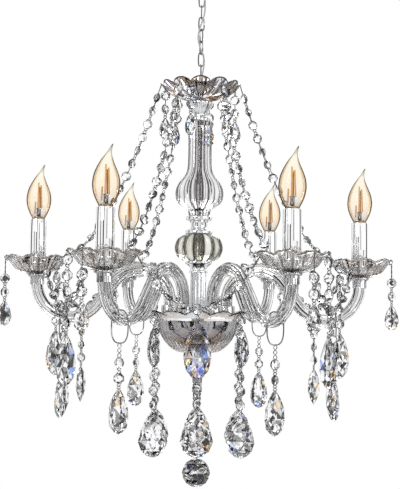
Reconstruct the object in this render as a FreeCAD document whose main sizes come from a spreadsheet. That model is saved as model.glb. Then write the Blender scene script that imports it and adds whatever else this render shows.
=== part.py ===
import FreeCAD, Part
import math
import os

from FreeCAD import Placement, Rotation, Vector

# Six-light crystal chandelier. Millimetres, +Z up, origin on the ceiling face, so all
# of it hangs at negative Z. The arms point to 0, 60, ... 300 degrees from +X.

doc = FreeCAD.newDocument("crystal_chandelier")

# ---------------------------------------------------------------- driving dimensions
SIZES = {
    # ceiling fitting
    "canopy_radius": 60.0, "canopy_depth": 33.0, "canopy_wall": 1.2, "canopy_brim": 6.0,
    "canopy_base": 16.0, "bar_length": 104.0, "bar_width": 20.0, "bar_plate": 2.5,
    "slot_margin": 8.0, "slot_width": 4.5, "slot_length": 7.0,
    "nipple_radius": 5.0, "nipple_bore": 3.2, "nut_width": 15.0, "nut_height": 4.0,
    # screw collars with their rings, above and below the chain
    "collar_radius": 13.0, "collar_wall": 2.0, "collar_lip": 6.0, "collar_body": 7.0,
    "ring_radius": 6.5, "ring_wire": 1.5, "ring_sink": 1.0,
    "shank_radius": 8.5, "shank_length": 16.8, "thread_depth": 8.0,
    # chain and cable
    "link_count": 8, "link_width": 8.0, "link_span": 19.1, "link_wire": 1.0,
    "link_play": 0.1, "link_corner": 2.2, "cable_radius": 1.2,
    # threaded rod and the glass stacked on it
    "rod_radius": 5.0, "rod_bore": 3.5, "bore_play": 0.4,
    "crown_radius": 57.0, "crown_height": 22.5, "crown_floor": 5.0, "crown_base": 14.0,
    "crown_glass": 3.0, "crown_notch": 5.0, "crown_dip": 7.0,
    "neck_height": 32.5, "neck_bulge": 18.0, "neck_waist": 9.5, "neck_rim": 15.5,
    "column_height": 131.5, "column_radius": 33.5, "column_flute": 1.5,
    "cap_height": 26.4, "cap_radius": 19.4, "cap_collar": 18.6, "cap_waist": 12.0,
    "ball_height": 37.8, "ball_radius": 33.7, "ball_groove": 2.4,
    "cup_height": 16.3, "cup_radius": 19.2, "cup_waist": 11.2, "cup_foot": 13.0,
    "sleeve_height": 51.0, "sleeve_radius": 11.2, "sleeve_glass": 2.0,
    "hub_boss": 5.0, "hub_boss_radius": 13.0, "hub_radius": 51.0, "hub_plate": 6.0,
    # bowl
    "liner_radius": 52.0, "liner_depth": 40.0, "liner_wall": 1.5, "liner_gap": 4.0,
    "bowl_radius": 69.5, "bowl_waist": 57.0, "bowl_floor": 4.0, "bowl_flare": 14.0,
    "bowl_notch": 4.0, "bowl_dip": 5.0, "bowl_play": 1.5, "bowl_seat": 0.65,
    "finial_radius": 10.0, "finial_height": 17.0, "finial_bore": 6.0, "finial_ring": 4.5,
    "finial_wire": 1.2,
    # arms
    "candle_circle": 225.0, "arm_width": 16.0, "arm_root": 39.5, "arch_radius": 42.5,
    "arch_top": 60.5, "arm_run": 40.9, "arm_rise": 45.6, "arm_play": 0.3,
    "ferrule_radius": 12.0, "ferrule_height": 11.0, "ferrule_cap": 6.4, "arm_end": 6.0,
    # bobeches and candles
    "dish_radius": 46.5, "dish_height": 26.0, "dish_glass": 3.2, "dish_hole": 6.6,
    "dish_notch": 4.5, "dish_dip": 8.0, "stud_radius": 4.8, "cup_lift": 4.3,
    "candle_radius": 11.5, "candle_wall": 1.2, "candle_height": 69.0,
    "cup_wall": 1.4, "cup_depth": 8.5, "candle_play": 0.3,
    "holder_radius": 9.6, "holder_bore": 7.3, "holder_height": 62.0, "holder_floor": 40.0,
    "bulb_radius": 17.0, "bulb_height": 76.0, "bulb_neck": 7.0,
    "cap_base_radius": 6.8, "cap_base_height": 19.0, "filament_height": 26.0,
    # bent wire bows on the arms
    "bow_reach": 191.0, "bow_width": 25.0, "bow_height": 41.0, "bow_wire": 1.1,
    # crystals
    "bead_radius": 7.0, "bead_thick": 8.0, "bead_pitch": 19.0, "pin_radius": 0.8,
    "pin_play": 0.15, "hook_length": 16.0, "festoon_sag": 40.0, "garland_sag": 62.0,
    "ball_drop_radius": 19.5, "almond_length": 80.0, "almond_width": 38.0,
}

# sizes that follow from the others, as formulas on the sheet
FOLLOWING = {
    "slot_spacing": "=bar_length - 2 * slot_margin",
    "arch_drop": "=arm_rise - arm_end - arch_top + arch_radius",
    "arm_span": "=candle_circle - arm_root",
    "dip_radius": "=(arm_span ^ 2 + arch_drop ^ 2 - arm_run ^ 2) / (2 * arm_span) - arch_radius",
}

ARMS = 6
CROWN_PETALS = 12
DISH_PETALS = 8
COLUMN_FLUTES = 12
BALL_LOBES = 10
ARM_STEPS = 7        # straight facets in each of an arm's two arcs
TURNED = 12          # flats on the small cut and turned pieces
CABLE_FLATS = 5
STACK_PLAY = 0.1     # face to face pieces on the rod

# outlines of the turned glass, as (share of the height, share of the radius)
COLUMN_OUTLINE = ((0.0, 0.567), (0.076, 0.507), (0.5, 0.51), (0.58, 0.645),
                  (0.655, 0.878), (0.745, 1.0), (0.845, 0.95), (0.92, 0.54), (1.0, 0.433))
BALL_OUTLINE = ((0.0, 0.56), (0.16, 0.83), (0.5, 1.0), (0.84, 0.83), (1.0, 0.56))
LINER_OUTLINE = ((0.0, 1.0), (0.48, 0.895), (0.86, 0.577), (1.0, 0.16))
BULB_OUTLINE = ((0.0, 0.42), (0.12, 0.76), (0.36, 1.0), (0.58, 0.76), (0.8, 0.28))
DROP_OUTLINE = ((0.26, 0.52), (0.62, 1.0), (0.88, 0.72))

# the turn of each link about the chain's own line, in degrees
LINK_TURNS = (90, 0, 90, 0, -60, -120, -180, -270)

# the cable beside the chain: (x, y) and the distance below the first link's middle
CABLE_ROUTE = ((0.0, -6.9, 16.5), (2.0, -6.9, 0.0), (4.9, -4.1, -18.0), (4.6, -3.4, -38.5),
               (-2.9, -3.3, -58.5), (-5.1, -4.3, -73.0), (-1.2, -7.8, -88.5),
               (5.0, -4.8, -102.0), (3.4, -5.4, -118.0), (0.0, -6.9, -135.0))

# the petal of each drip dish that carries its long strand, from the arm's direction
STRAND_TURNS = (-135, 135, -135, 135, -45, 45)

sheet = doc.addObject("Spreadsheet::Sheet", "Sizes")
for row, (alias, value) in enumerate([*SIZES.items(), *FOLLOWING.items()], 1):
    sheet.set(f"A{row}", alias)
    sheet.set(f"B{row}", str(value))
    sheet.setAlias(f"B{row}", alias)
doc.recompute()


def size(alias):
    return float(sheet.get(alias))


# ------------------------------------------------------------------- general helpers
def polar(radius, degrees, z=0.0):
    angle = math.radians(degrees)
    return Vector(radius * math.cos(angle), radius * math.sin(angle), z)


def facet(points):
    return Part.Face(Part.makePolygon(points + [points[0]]))


def quad(a, b, c, d):
    """One flat face, or two triangles where the four points are not in a plane."""
    corners = [p for p, q in ((a, d), (b, a), (c, b), (d, c)) if p.distanceToPoint(q) > 1e-6]
    if len(corners) < 4:
        return [facet(corners)]
    normal = (b - a).cross(c - a)
    if abs(normal.normalize().dot(d - a)) < 1e-5:
        return [facet(corners)]
    return [facet([a, b, c]), facet([a, c, d])]


def skin(rings, closed=False):
    """Solid through rings of points. A ring of one point is a tip. Closed joins the
    last ring to the first, otherwise flat faces cap open ends."""
    faces = []
    pairs = list(zip(rings, rings[1:]))
    if closed:
        pairs.append((rings[-1], rings[0]))
    for low, high in pairs:
        count = max(len(low), len(high))
        for i in range(count):
            j = (i + 1) % count
            if len(low) == 1:
                faces.append(facet([low[0], high[j], high[i]]))
            elif len(high) == 1:
                faces.append(facet([low[i], low[j], high[0]]))
            else:
                faces += quad(low[i], low[j], high[j], high[i])
    if not closed:
        faces += [facet(ring) for ring in (rings[0], rings[-1]) if len(ring) > 2]
    solid = Part.Solid(Part.Shell(faces))
    if solid.Volume < 0:
        solid.reverse()
    return solid


def turned(outline, sides, closed=True, phase=0.5):
    """Cut or turned piece: an outline of (radius, z) carried round the Z axis."""
    step = 360.0 / sides
    rings = []
    for radius, z in outline:
        if radius < 1e-6:
            rings.append([Vector(0, 0, z)])
        else:
            rings.append([polar(radius, (k + phase) * step, z) for k in range(sides)])
    return skin(rings, closed)


def fluted(outline, flutes, groove, bore):
    """Ribbed piece with a round of grooves, and a bore with as many flats."""
    step = 180.0 / flutes
    rings = [[polar(radius - (groove * radius / outline_max(outline) if k % 2 else 0.0), k * step, z)
              for k in range(2 * flutes)] for radius, z in outline]
    top, bottom = outline[0][1], outline[-1][1]
    for z in (bottom, top):
        rings.append([polar(bore, k * step, z) for k in range(2 * flutes)])
    return skin(rings, closed=True)


def outline_max(outline):
    return max(radius for radius, z in outline)


def scalloped(outline, petals, notch, dip):
    """Dish with a petalled rim. The outline's widest point is the edge, which falls
    in by notch and down by dip between two petals."""
    step, rim = 360.0 / (3 * petals), outline.index(max(outline))
    rings = []
    for number, (radius, z) in enumerate(outline):
        ring = []
        for k in range(3 * petals):
            valley = number == rim and k % 3 == 0
            ring.append(polar(radius - (notch if valley else 0.0), (k - 1.5) * step,
                              z - (dip if valley else 0.0)))
        rings.append(ring)
    return skin(rings, closed=True)


def section(centre, across, up, radius, sides, phase=0.5):
    step = 2 * math.pi / sides
    return [centre + across * (radius * math.cos((k + phase) * step))
            + up * (radius * math.sin((k + phase) * step)) for k in range(sides)]


def bent_bar(path, normal, radius, sides, closed=False):
    """Bar along a path that lies in a plane square to normal, mitred at each point."""
    rings = []
    for k, point in enumerate(path):
        before = path[k - 1] if (k or closed) else None
        after = path[(k + 1) % len(path)] if (closed or k + 1 < len(path)) else None
        come = (point - before).normalize() if before else None
        go = (after - point).normalize() if after else None
        along = (come + go).normalize() if come and go else (come or go)
        out = along.cross(normal)
        stretch = 1.0 / out.dot((come or go).cross(normal))
        rings.append(section(point, out * stretch, normal, radius, sides))
    return skin(rings, closed)


def oval(half_width, half_height, corner, centre, across):
    """Eight-point outline of a chain link or ring, in the plane of across and Z."""
    w, t, c = half_width, half_height, corner
    points = ((w, t - c), (w - c, t), (c - w, t), (-w, t - c),
              (-w, c - t), (c - w, -t), (w - c, -t), (w, c - t))
    return [centre + across * x + Vector(0, 0, z) for x, z in points]


def arc(centre, radius, start, end, steps):
    """Points of an arc in the XZ plane, angles in degrees from +X."""
    turn = (end - start) / steps
    return [Vector(centre.x + radius * math.cos(math.radians(start + k * turn)), 0,
                   centre.z + radius * math.sin(math.radians(start + k * turn)))
            for k in range(steps + 1)]


# ------------------------------------------------------------------ document objects
nodes = {}


def add_node(name, shapes, place=None):
    """One sub-part of fixed shape, from one solid or a group of separate solids."""
    shape = shapes if isinstance(shapes, Part.Shape) else Part.makeCompound(shapes)
    part = doc.addObject("Part::Feature", name)
    part.Shape = shape
    part.Label = name
    part.Placement = place or Placement()
    nodes[name] = part
    return part


def primitive(kind, name, z=0.0, place=None, sides=None, **sizes):
    """Part primitive whose sizes are bound to the sheet."""
    part = doc.addObject(kind, name)
    if sides:
        part.Polygon = sides
    for prop, formula in sizes.items():
        part.setExpression(prop, formula)
    part.Placement = place or Placement(Vector(0, 0, z), Rotation())
    return part


def boolean(kind, name, base, tools):
    """Cut (with one tool) or compound of document objects, kept as a node's shape."""
    part = doc.addObject(kind, name)
    if kind == "Part::Cut":
        part.Base, part.Tool = base, tools
    elif kind == "Part::MultiFuse":
        part.Shapes = [base] + tools
    else:
        part.Links = [base] + tools
    part.Label = name
    return part


def tube(name, radius, bore, low, height, sides, place=None):
    """Hollow bar with flats. Radius and bore are formulas on the sheet."""
    body = primitive("Part::Prism", f"{name}_body", low, place, sides, Circumradius=radius)
    hole = primitive("Part::Prism", f"{name}_hole", low - 1, place, sides, Circumradius=bore)
    body.Height, hole.Height = height, height + 2
    if place:
        hole.Placement.Base.z = place.Base.z - 1
    return boolean("Part::Cut", name, body, hole)


# ------------------------------------------------------------------------ z levels
ring_centre_drop = size("ring_radius") - size("ring_sink")
wires = size("ring_wire") + size("link_wire") + size("link_play")
link_pitch = size("link_span") - 2 * size("link_wire") - size("link_play")

canopy_foot = -size("canopy_depth")
top_floor = canopy_foot - size("collar_body")
top_ring = top_floor - ring_centre_drop
first_link = top_ring - size("ring_radius") + wires - size("link_span") / 2
link_levels = [first_link - k * link_pitch for k in range(int(size("link_count")))]
stem_ring = link_levels[-1] - size("link_span") / 2 + wires - size("ring_radius")
stem_floor = stem_ring - ring_centre_drop
crown_seat = stem_floor - size("shank_length")
neck_top = crown_seat - size("crown_floor")
column_top = neck_top - size("neck_height")
cap_top = column_top - size("column_height")
ball_top = cap_top - size("cap_height")
cup_top = ball_top - size("ball_height")
sleeve_top = cup_top - size("cup_height")
hub_top = sleeve_top - size("sleeve_height")
hub_face = hub_top - size("hub_boss")
hub_foot = hub_face - size("hub_plate")
liner_top = hub_foot - size("liner_gap")
liner_foot = liner_top - size("liner_depth")
bowl_foot = liner_foot - size("bowl_seat") - size("bowl_floor")
finial_foot = bowl_foot - size("finial_height")
finial_ring = finial_foot - size("finial_ring") + 0.8
rod_hole = size("rod_radius") + size("bore_play")
thread_hole = (size("rod_radius") + 0.1) / math.cos(math.pi / TURNED)

arm_foot = hub_face + STACK_PLAY
arm_tip = arm_foot + size("arm_rise")
dish_foot = arm_tip + size("ferrule_cap")
candle_foot = dish_foot + size("dish_glass") + size("cup_lift")
socket_face = candle_foot + size("candle_height")


# ------------------------------------------------------------------- ceiling fitting
def make_mounting_bar():
    plate = primitive("Part::Box", "bar_plate", Length="Sizes.bar_length",
                      Width="Sizes.bar_width", Height="Sizes.bar_plate")
    plate.setExpression("Placement.Base.x", "-Sizes.bar_length / 2")
    plate.setExpression("Placement.Base.y", "-Sizes.bar_width / 2")
    plate.setExpression("Placement.Base.z", "-Sizes.bar_plate")
    tools = [primitive("Part::Prism", "bar_thread", z=-5, sides=TURNED,
                       Circumradius="(Sizes.nipple_radius + 0.1) / cos(180 / 12)",
                       Height="Sizes.bar_plate + 10")]
    for side in (-1, 1):
        slot = primitive("Part::Box", "bar_slot", Length="Sizes.slot_length",
                         Width="Sizes.slot_width", Height="Sizes.bar_plate + 10")
        slot.setExpression("Placement.Base.x",
                           f"{side} * Sizes.slot_spacing / 2 - Sizes.slot_length / 2")
        slot.setExpression("Placement.Base.y", "-Sizes.slot_width / 2")
        slot.Placement.Base.z = -5
        tools.append(slot)
        for end in (-1, 1):
            round_end = primitive("Part::Cylinder", "slot_end", z=-5,
                                  Radius="Sizes.slot_width / 2", Height="Sizes.bar_plate + 10")
            round_end.setExpression("Placement.Base.x", f"{side} * Sizes.slot_spacing / 2"
                                    f" + {end} * Sizes.slot_length / 2")
            tools.append(round_end)
    holes = boolean("Part::MultiFuse", "bar_holes", tools[0], tools[1:])
    nodes["mounting_bar"] = boolean("Part::Cut", "mounting_bar", plate, holes)


def make_canopy_nipple():
    """Hollow nipple screwed into the bar, with the lock nut under it."""
    foot = top_floor + 1.5
    nipple = tube("nipple", "Sizes.nipple_radius", "Sizes.nipple_bore", foot, -foot - 0.2, TURNED)
    level = -size("bar_plate") - size("nut_height") - STACK_PLAY
    nut = tube("lock_nut", "Sizes.nut_width / sqrt(3)",
               "(Sizes.nipple_radius + 0.1) / cos(180 / 6)", level, size("nut_height"), 6)
    nodes["canopy_nipple"] = boolean("Part::Compound", "canopy_nipple", nipple, [nut])


def make_canopy():
    brim, depth = size("canopy_radius"), size("canopy_depth")
    base, wall, rise = size("canopy_base"), size("canopy_wall"), size("canopy_brim")
    hole = size("nipple_radius") + size("bore_play")
    outline = [(brim, 0), (brim, -rise), (brim * 0.72, -depth * 0.72), (base, -depth),
               (hole, -depth), (hole, wall - depth), (base - wall / 2, wall - depth),
               (brim * 0.72 - wall, -depth * 0.72 + wall), (brim - wall, -rise + wall / 2),
               (brim - wall, 0)]
    add_node("ceiling_canopy", turned(outline, 20))


def screw_collar(level, direction, body, shank):
    """Cup-shaped collar and the ring in it. Level is the cup's floor, and direction
    points from the floor to the chain. The shank is the solid side of the floor."""
    radius, lip = size("collar_radius"), size("collar_lip")
    inner = radius - size("collar_wall")
    bore_end = body - size("thread_depth") if body > size("thread_depth") + 2 else 1.4
    outline = [(0, level), (inner, level), (inner, level + direction * lip),
               (radius, level + direction * lip), (radius, level - direction * min(body, 4)),
               (shank, level - direction * min(body, 6)), (shank, level - direction * body),
               (thread_hole, level - direction * body), (thread_hole, level - direction * bore_end),
               (0, level - direction * bore_end)]
    cup = turned(outline, TURNED, closed=False)
    return cup.fuse(wire_ring(level + direction * ring_centre_drop, size("ring_radius"),
                              size("ring_wire"), 10))


def wire_ring(level, radius, wire, corners):
    """Upright ring in the XZ plane, whose flats lie at the radius."""
    half = 180.0 / corners
    path = arc(Vector(0, 0, level), radius / math.cos(math.radians(half)), half - 90,
               270 - half, corners - 1)
    return bent_bar(path, Vector(0, 1, 0), wire, 6, closed=True)


# ---------------------------------------------------------------- chain and its cable
def chain_link(level, turn):
    across = polar(1.0, turn)
    path = oval(size("link_width") / 2, size("link_span") / 2, size("link_corner"),
                Vector(0, 0, level), across)
    return bent_bar(path, across.cross(Vector(0, 0, 1)), size("link_wire"), 6, closed=True)


def cable_path(points):
    """Straight runs joined by tangent arcs, each as large as its two runs allow."""
    edges, start, least = [], points[0], 1e9
    for before, corner, after in zip(points, points[1:], points[2:]):
        come, go = (corner - before), (after - corner)
        turn = come.getAngle(go)
        radius = 0.45 * min(come.Length, go.Length) / math.tan(turn / 2)
        reach = radius * math.tan(turn / 2)
        enter = corner - come.normalize() * reach
        leave = corner + go.normalize() * reach
        middle = corner + (go - come).normalize() * (radius / math.cos(turn / 2) - radius)
        edges += [Part.LineSegment(start, enter).toShape(),
                  Part.Arc(enter, middle, leave).toShape()]
        start, least = leave, min(least, radius)
    edges.append(Part.LineSegment(start, points[-1]).toShape())
    print(f"supply_cable: length {sum(e.Length for e in edges):.1f}, least radius {least:.1f}")
    return Part.Wire(edges)


def make_cable():
    points = [Vector(x, y, first_link + z) for x, y, z in CABLE_ROUTE]
    points[-1].z = stem_floor + size("collar_lip") / 2
    path = cable_path(points)
    along = (points[1] - points[0]).normalize()
    across = along.cross(Vector(0, 1, 0)).normalize()
    ring = section(points[0], across, along.cross(across), size("cable_radius"), CABLE_FLATS)
    profile = Part.makePolygon(ring + [ring[0]])
    tube = path.makePipeShell([profile], True, True)
    area = CABLE_FLATS / 2 * size("cable_radius") ** 2 * math.sin(2 * math.pi / CABLE_FLATS)
    print(f"supply_cable: volume {tube.Volume:.1f} against {area * path.Length:.1f}")
    add_node("supply_cable", tube)


def make_suspension():
    make_mounting_bar()
    make_canopy_nipple()
    make_canopy()
    add_node("canopy_loop", screw_collar(top_floor, -1, size("collar_body") - STACK_PLAY,
                                         size("collar_radius") - 1))
    links = [chain_link(z, turn) for z, turn in zip(link_levels, LINK_TURNS)]
    add_node("top_link", links[0])
    add_node("chain", links[1:])
    make_cable()
    add_node("stem_loop", screw_collar(stem_floor, 1, size("shank_length"),
                                       size("shank_radius")))


# ------------------------------------------------------------------------------ stem
def make_rod():
    """Rod through the whole stem, with the nuts under the hub and over the liner."""
    top = stem_floor - (size("shank_length") - size("thread_depth")) - 0.5
    foot = bowl_foot - size("finial_bore") + 0.5
    rod = tube("rod", "Sizes.rod_radius", "Sizes.rod_bore", foot, top - foot, TURNED)
    (reach, slope_top), (flat, slope_foot) = liner_lining()[-2:]
    lift = (size("nut_width") / math.sqrt(3) - flat) * (slope_top - slope_foot) / (reach - flat)
    levels = {"hub_nut": hub_foot - STACK_PLAY - size("nut_height"),
              "liner_nut": slope_foot + max(lift, 0.0) + STACK_PLAY}
    nuts = [tube(name, "Sizes.nut_width / sqrt(3)", "(Sizes.rod_radius + 0.1) / cos(180 / 6)",
                 level, size("nut_height"), 6) for name, level in levels.items()]
    nodes["stem_rod"] = boolean("Part::Compound", "stem_rod", rod, nuts)


def crown_outline():
    radius, base, glass = size("crown_radius"), size("crown_base"), size("crown_glass")
    low, tall = neck_top + STACK_PLAY, size("crown_height")
    return [(rod_hole, low), (base, low), (radius * 0.7, low + tall * 0.36),
            (radius, low + tall), (radius * 0.68, low + tall * 0.36 + glass),
            (base - 1, crown_seat), (rod_hole, crown_seat)]


def make_crown():
    add_node("crown_dish", scalloped(crown_outline(), CROWN_PETALS, size("crown_notch"),
                                     size("crown_dip")))
    base = size("crown_base")
    top, tall = neck_top, size("neck_height")
    foot = top - tall + STACK_PLAY
    outline = [(base - 0.5, top), (size("neck_bulge"), top - tall * 0.2),
               (size("neck_waist"), top - tall * 0.63), (size("neck_waist"), top - tall * 0.75),
               (size("neck_rim"), top - tall * 0.83), (size("neck_rim"), foot),
               (rod_hole, foot), (rod_hole, top)]
    add_node("crown_neck", turned(outline, TURNED))


def stretched(outline, top, height, radius):
    return [(share * radius, top - down * height) for down, share in outline]


def make_column():
    height = size("column_height") - STACK_PLAY
    outline = stretched(COLUMN_OUTLINE, column_top, height, size("column_radius"))
    add_node("column_glass", fluted(outline, COLUMN_FLUTES, size("column_flute"), rod_hole))

    top, tall = cap_top, size("cap_height")
    foot = top - tall + STACK_PLAY
    outline = [(size("cap_collar") - 4, top), (size("cap_collar"), top - tall * 0.11),
               (size("cap_collar"), top - tall * 0.24), (size("cap_waist"), top - tall * 0.45),
               (size("cap_waist"), top - tall * 0.7), (size("cap_radius"), top - tall * 0.82),
               (size("cap_radius"), foot), (rod_hole, foot), (rod_hole, top)]
    add_node("ball_cap", turned(outline, TURNED))

    outline = stretched(BALL_OUTLINE, ball_top, size("ball_height") - STACK_PLAY,
                        size("ball_radius"))
    add_node("ribbed_ball", fluted(outline, BALL_LOBES, size("ball_groove"), rod_hole))

    top, tall = cup_top, size("cup_height")
    foot = top - tall + STACK_PLAY
    outline = [(size("cup_radius"), top), (size("cup_radius"), top - tall * 0.16),
               (size("cup_waist"), top - tall * 0.6), (size("cup_foot"), top - tall * 0.88),
               (size("cup_foot"), foot), (rod_hole, foot), (rod_hole, top)]
    add_node("ball_cup", turned(outline, TURNED))

    outer, inner = size("sleeve_radius"), size("sleeve_radius") - size("sleeve_glass")
    foot = hub_top + STACK_PLAY
    add_node("stem_sleeve", turned([(outer, sleeve_top), (outer, foot), (inner, foot),
                                    (inner, sleeve_top)], TURNED))


def make_hub():
    boss, plate = size("hub_boss_radius"), size("hub_radius")
    outline = [(rod_hole, hub_top), (boss, hub_top), (boss, hub_face), (plate, hub_face),
               (plate, hub_foot), (rod_hole, hub_foot)]
    add_node("arm_hub", turned(outline, TURNED))


def liner_shell():
    return stretched(LINER_OUTLINE, liner_top, size("liner_depth"), size("liner_radius"))


def liner_lining():
    """The liner's inner outline, from its top edge down to its flat floor."""
    wall = size("liner_wall")
    return [(radius - wall, z + wall * share)
            for (radius, z), share in zip(liner_shell(), (0.0, 0.45, 0.9, 1.0))]


def make_bowl():
    floor = [(rod_hole, liner_foot), (rod_hole, liner_foot + size("liner_wall"))]
    add_node("bowl_liner", turned(liner_shell() + floor + liner_lining()[::-1], 16))
    add_node("bowl_glass", scalloped(bowl_outline(), CROWN_PETALS, size("bowl_notch"),
                                     size("bowl_dip")))

    radius, foot = size("finial_radius"), finial_foot
    top, bore_end = bowl_foot - STACK_PLAY, bowl_foot - size("finial_bore")
    outline = [(0, foot), (radius * 0.5, foot), (radius, top - 6), (radius, top),
               (thread_hole, top), (thread_hole, bore_end), (0, bore_end)]
    nut = turned(outline, TURNED, closed=False)
    add_node("finial", nut.fuse(wire_ring(finial_ring, size("finial_ring"),
                                          size("finial_wire"), 8)))


def bowl_outline():
    """Outline of the glass bowl round its liner, from the hole up and back inside."""
    play, waist, reach = size("bowl_play"), size("bowl_waist"), size("liner_radius")
    floor, depth = bowl_foot + size("bowl_floor"), size("liner_depth")
    return [(rod_hole, bowl_foot), (reach * 0.62, liner_top - depth * 0.97),
            (waist * 0.9, liner_top - depth * 0.52), (waist, liner_top),
            (size("bowl_radius"), liner_top + size("bowl_flare")),
            (reach + play + 0.8, liner_top), (reach * 0.91 + play, liner_top - depth * 0.48),
            (reach * 0.6 + play, liner_top - depth * 0.86 - play), (rod_hole, floor)]


# -------------------------------------------------------------------- arms and lamps
def arm_path():
    """Line of one arm in the XZ plane: up from the hub, over an arch, down a short
    run, through a dip and up to the candle."""
    root, end = size("arm_root"), size("candle_circle")
    arch, dip = size("arch_radius"), size("dip_radius")
    crest = Vector(root + arch, 0, arm_foot + size("arch_top") - arch)
    hollow = Vector(end - dip, 0, arm_tip - size("arm_end"))
    span = hollow - crest
    lean = math.degrees(math.atan2(span.z, span.x))
    cross = math.degrees(math.asin((arch + dip) / span.Length))
    down = lean - cross
    over = arc(crest, arch, 180, down + 90, ARM_STEPS)
    under = arc(hollow, dip, down - 90, 0, ARM_STEPS)
    return [Vector(root, 0, arm_foot)] + over + under + [Vector(end, 0, arm_tip)]


def point_on_arm(reach):
    """Point of the arm's line at a reach from the stem, and its slope there."""
    path = arm_path()[ARM_STEPS + 1:-1]
    for a, b in zip(path, path[1:]):
        if a.x <= reach <= b.x or b is path[-1]:
            share = (reach - a.x) / (b.x - a.x)
            return a + (b - a) * share, math.atan2(b.z - a.z, b.x - a.x)


def make_arms():
    girth = size("arm_width") / 2 / math.cos(math.pi / 8)
    arm = bent_bar(arm_path(), Vector(0, 1, 0), girth, 8)
    for k in range(ARMS):
        turn = Placement(Vector(), Rotation(Vector(0, 0, 1), 360.0 / ARMS * k))
        add_node(f"arm_{k + 1}", arm.copy(), turn)

    hole = girth + size("arm_play")
    outer, tall = size("ferrule_radius"), size("ferrule_height")
    stud, seat = size("stud_radius"), dish_foot - STACK_PLAY
    stud_top = candle_foot - 0.2
    root_ring = turned([(outer, arm_foot), (outer, arm_foot + tall), (hole, arm_foot + tall),
                        (hole, arm_foot)], 8)
    root_ring.translate(Vector(size("arm_root"), 0, 0))
    end_cap = turned([(0, stud_top), (stud, stud_top), (stud, seat), (outer + 1.5, seat),
                      (outer - 1.0, arm_tip - tall + 3), (hole, arm_tip - tall + 3),
                      (hole, arm_tip + 0.2), (0, arm_tip + 0.2)], 8, closed=False)
    end_cap.translate(Vector(size("candle_circle"), 0, 0))
    add_node("arm_ferrules", around([root_ring, end_cap]))


def around(shapes, start=0.0, count=ARMS):
    """Copies of the shapes round the Z axis."""
    copies = []
    for k in range(count):
        for shape in shapes:
            copy = shape.copy()
            copy.rotate(Vector(), Vector(0, 0, 1), start + 360.0 / count * k)
            copies.append(copy)
    return copies


def dish_outline():
    radius, hole, glass = size("dish_radius"), size("dish_hole"), size("dish_glass")
    low, tall = dish_foot, size("dish_height")
    return [(hole, low), (radius * 0.7, low + tall * 0.27), (radius, low + tall),
            (radius * 0.68, low + tall * 0.27 + glass), (hole, low + glass)]


def make_bobeches():
    dish = scalloped(dish_outline(), DISH_PETALS, size("dish_notch"), size("dish_dip"))
    for k in range(ARMS):
        turn = 360.0 / ARMS * k
        add_node(f"bobeche_{k + 1}", dish.copy(),
                 Placement(polar(size("candle_circle"), turn), Rotation(Vector(0, 0, 1), turn)))


def make_candles():
    place = Vector(size("candle_circle"), 0, 0)
    play, stud = size("candle_play"), size("stud_radius")
    reach, wall = size("candle_radius") + play, size("cup_wall")
    low, floor = dish_foot + size("dish_glass") + 0.3, candle_foot - STACK_PLAY
    top = floor + size("cup_depth")
    cup = turned([(stud + play, low), (reach + wall, floor), (reach + wall, top), (reach, top),
                  (reach, floor), (stud + play, floor)], TURNED, phase=0)
    cup.translate(place)
    add_node("candle_cups", around([cup]))

    sleeves = []
    for k in range(ARMS):
        where = Placement(polar(size("candle_circle"), 360.0 / ARMS * k, candle_foot), Rotation())
        sleeves.append(tube(f"sleeve_{k + 1}", "Sizes.candle_radius",
                            "Sizes.candle_radius - Sizes.candle_wall", 0,
                            size("candle_height"), TURNED, where))
    nodes["candle_sleeves"] = boolean("Part::Compound", "candle_sleeves", sleeves[0], sleeves[1:])

    bore, outer, well = size("holder_bore"), size("holder_radius"), size("holder_floor")
    top = candle_foot + size("holder_height")
    holder = turned([(0, candle_foot), (outer, candle_foot), (outer, top), (bore, top),
                     (bore, candle_foot + well), (0, candle_foot + well)], 8, closed=False)
    holder.translate(place)
    add_node("lamp_holders", around([holder]))


def make_bulbs():
    """Flame bulbs: hollow glass, and the metal cap with its stem and two filaments."""
    place = Vector(size("candle_circle"), 0, 0)
    foot, height, radius = socket_face + 1.0, size("bulb_height"), size("bulb_radius")
    bore = size("bulb_neck") * 0.55
    outline = [(share * radius, foot + up * height) for up, share in reversed(BULB_OUTLINE)]
    glass = turned([(0, foot + height), *outline, (bore, foot),
                    (radius * 0.62, foot + height * 0.32), (0, foot + height * 0.84)],
                   8, closed=False)
    glass.translate(place)
    add_node("bulb_glasses", around([glass]))

    cap, low = size("cap_base_radius"), foot - size("cap_base_height")
    stem = foot + height * 0.28
    base = turned([(0, low), (cap, low + 5), (cap, foot - 0.2), (bore * 0.6, foot - 0.2),
                   (bore * 0.8, stem), (0, stem)], 8, closed=False)
    sticks = []
    for side in (-1, 1):
        ends = [Vector(side * 1.9, 0, stem + 0.1 + lift) for lift in (0, size("filament_height"))]
        sticks.append(skin([section(end, Vector(1, 0, 0), Vector(0, 1, 0), 0.9, 4)
                            for end in ends]))
    for solid in [base] + sticks:
        solid.translate(place)
    add_node("bulb_bases", around([base] + sticks))


def make_bows():
    """Wire bow over each arm, square to it, that carries the arm's crystals."""
    ride, slope = point_on_arm(size("bow_reach"))
    wire = size("bow_wire") * math.cos(math.pi / 4) * (1 + abs(math.tan(slope)))
    top = ride.z + size("arm_width") / 2 / math.cos(slope) + wire + 0.2
    centre = Vector(ride.x, 0, top - size("bow_height") / 2)
    path = oval(size("bow_width") / 2, size("bow_height") / 2, 8.0, centre, Vector(0, 1, 0))
    bow = bent_bar(path, Vector(1, 0, 0), size("bow_wire"), 4, closed=True)
    add_node("arm_bows", around([bow]))
    return Vector(ride.x, 0, top - size("bow_height"))


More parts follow.
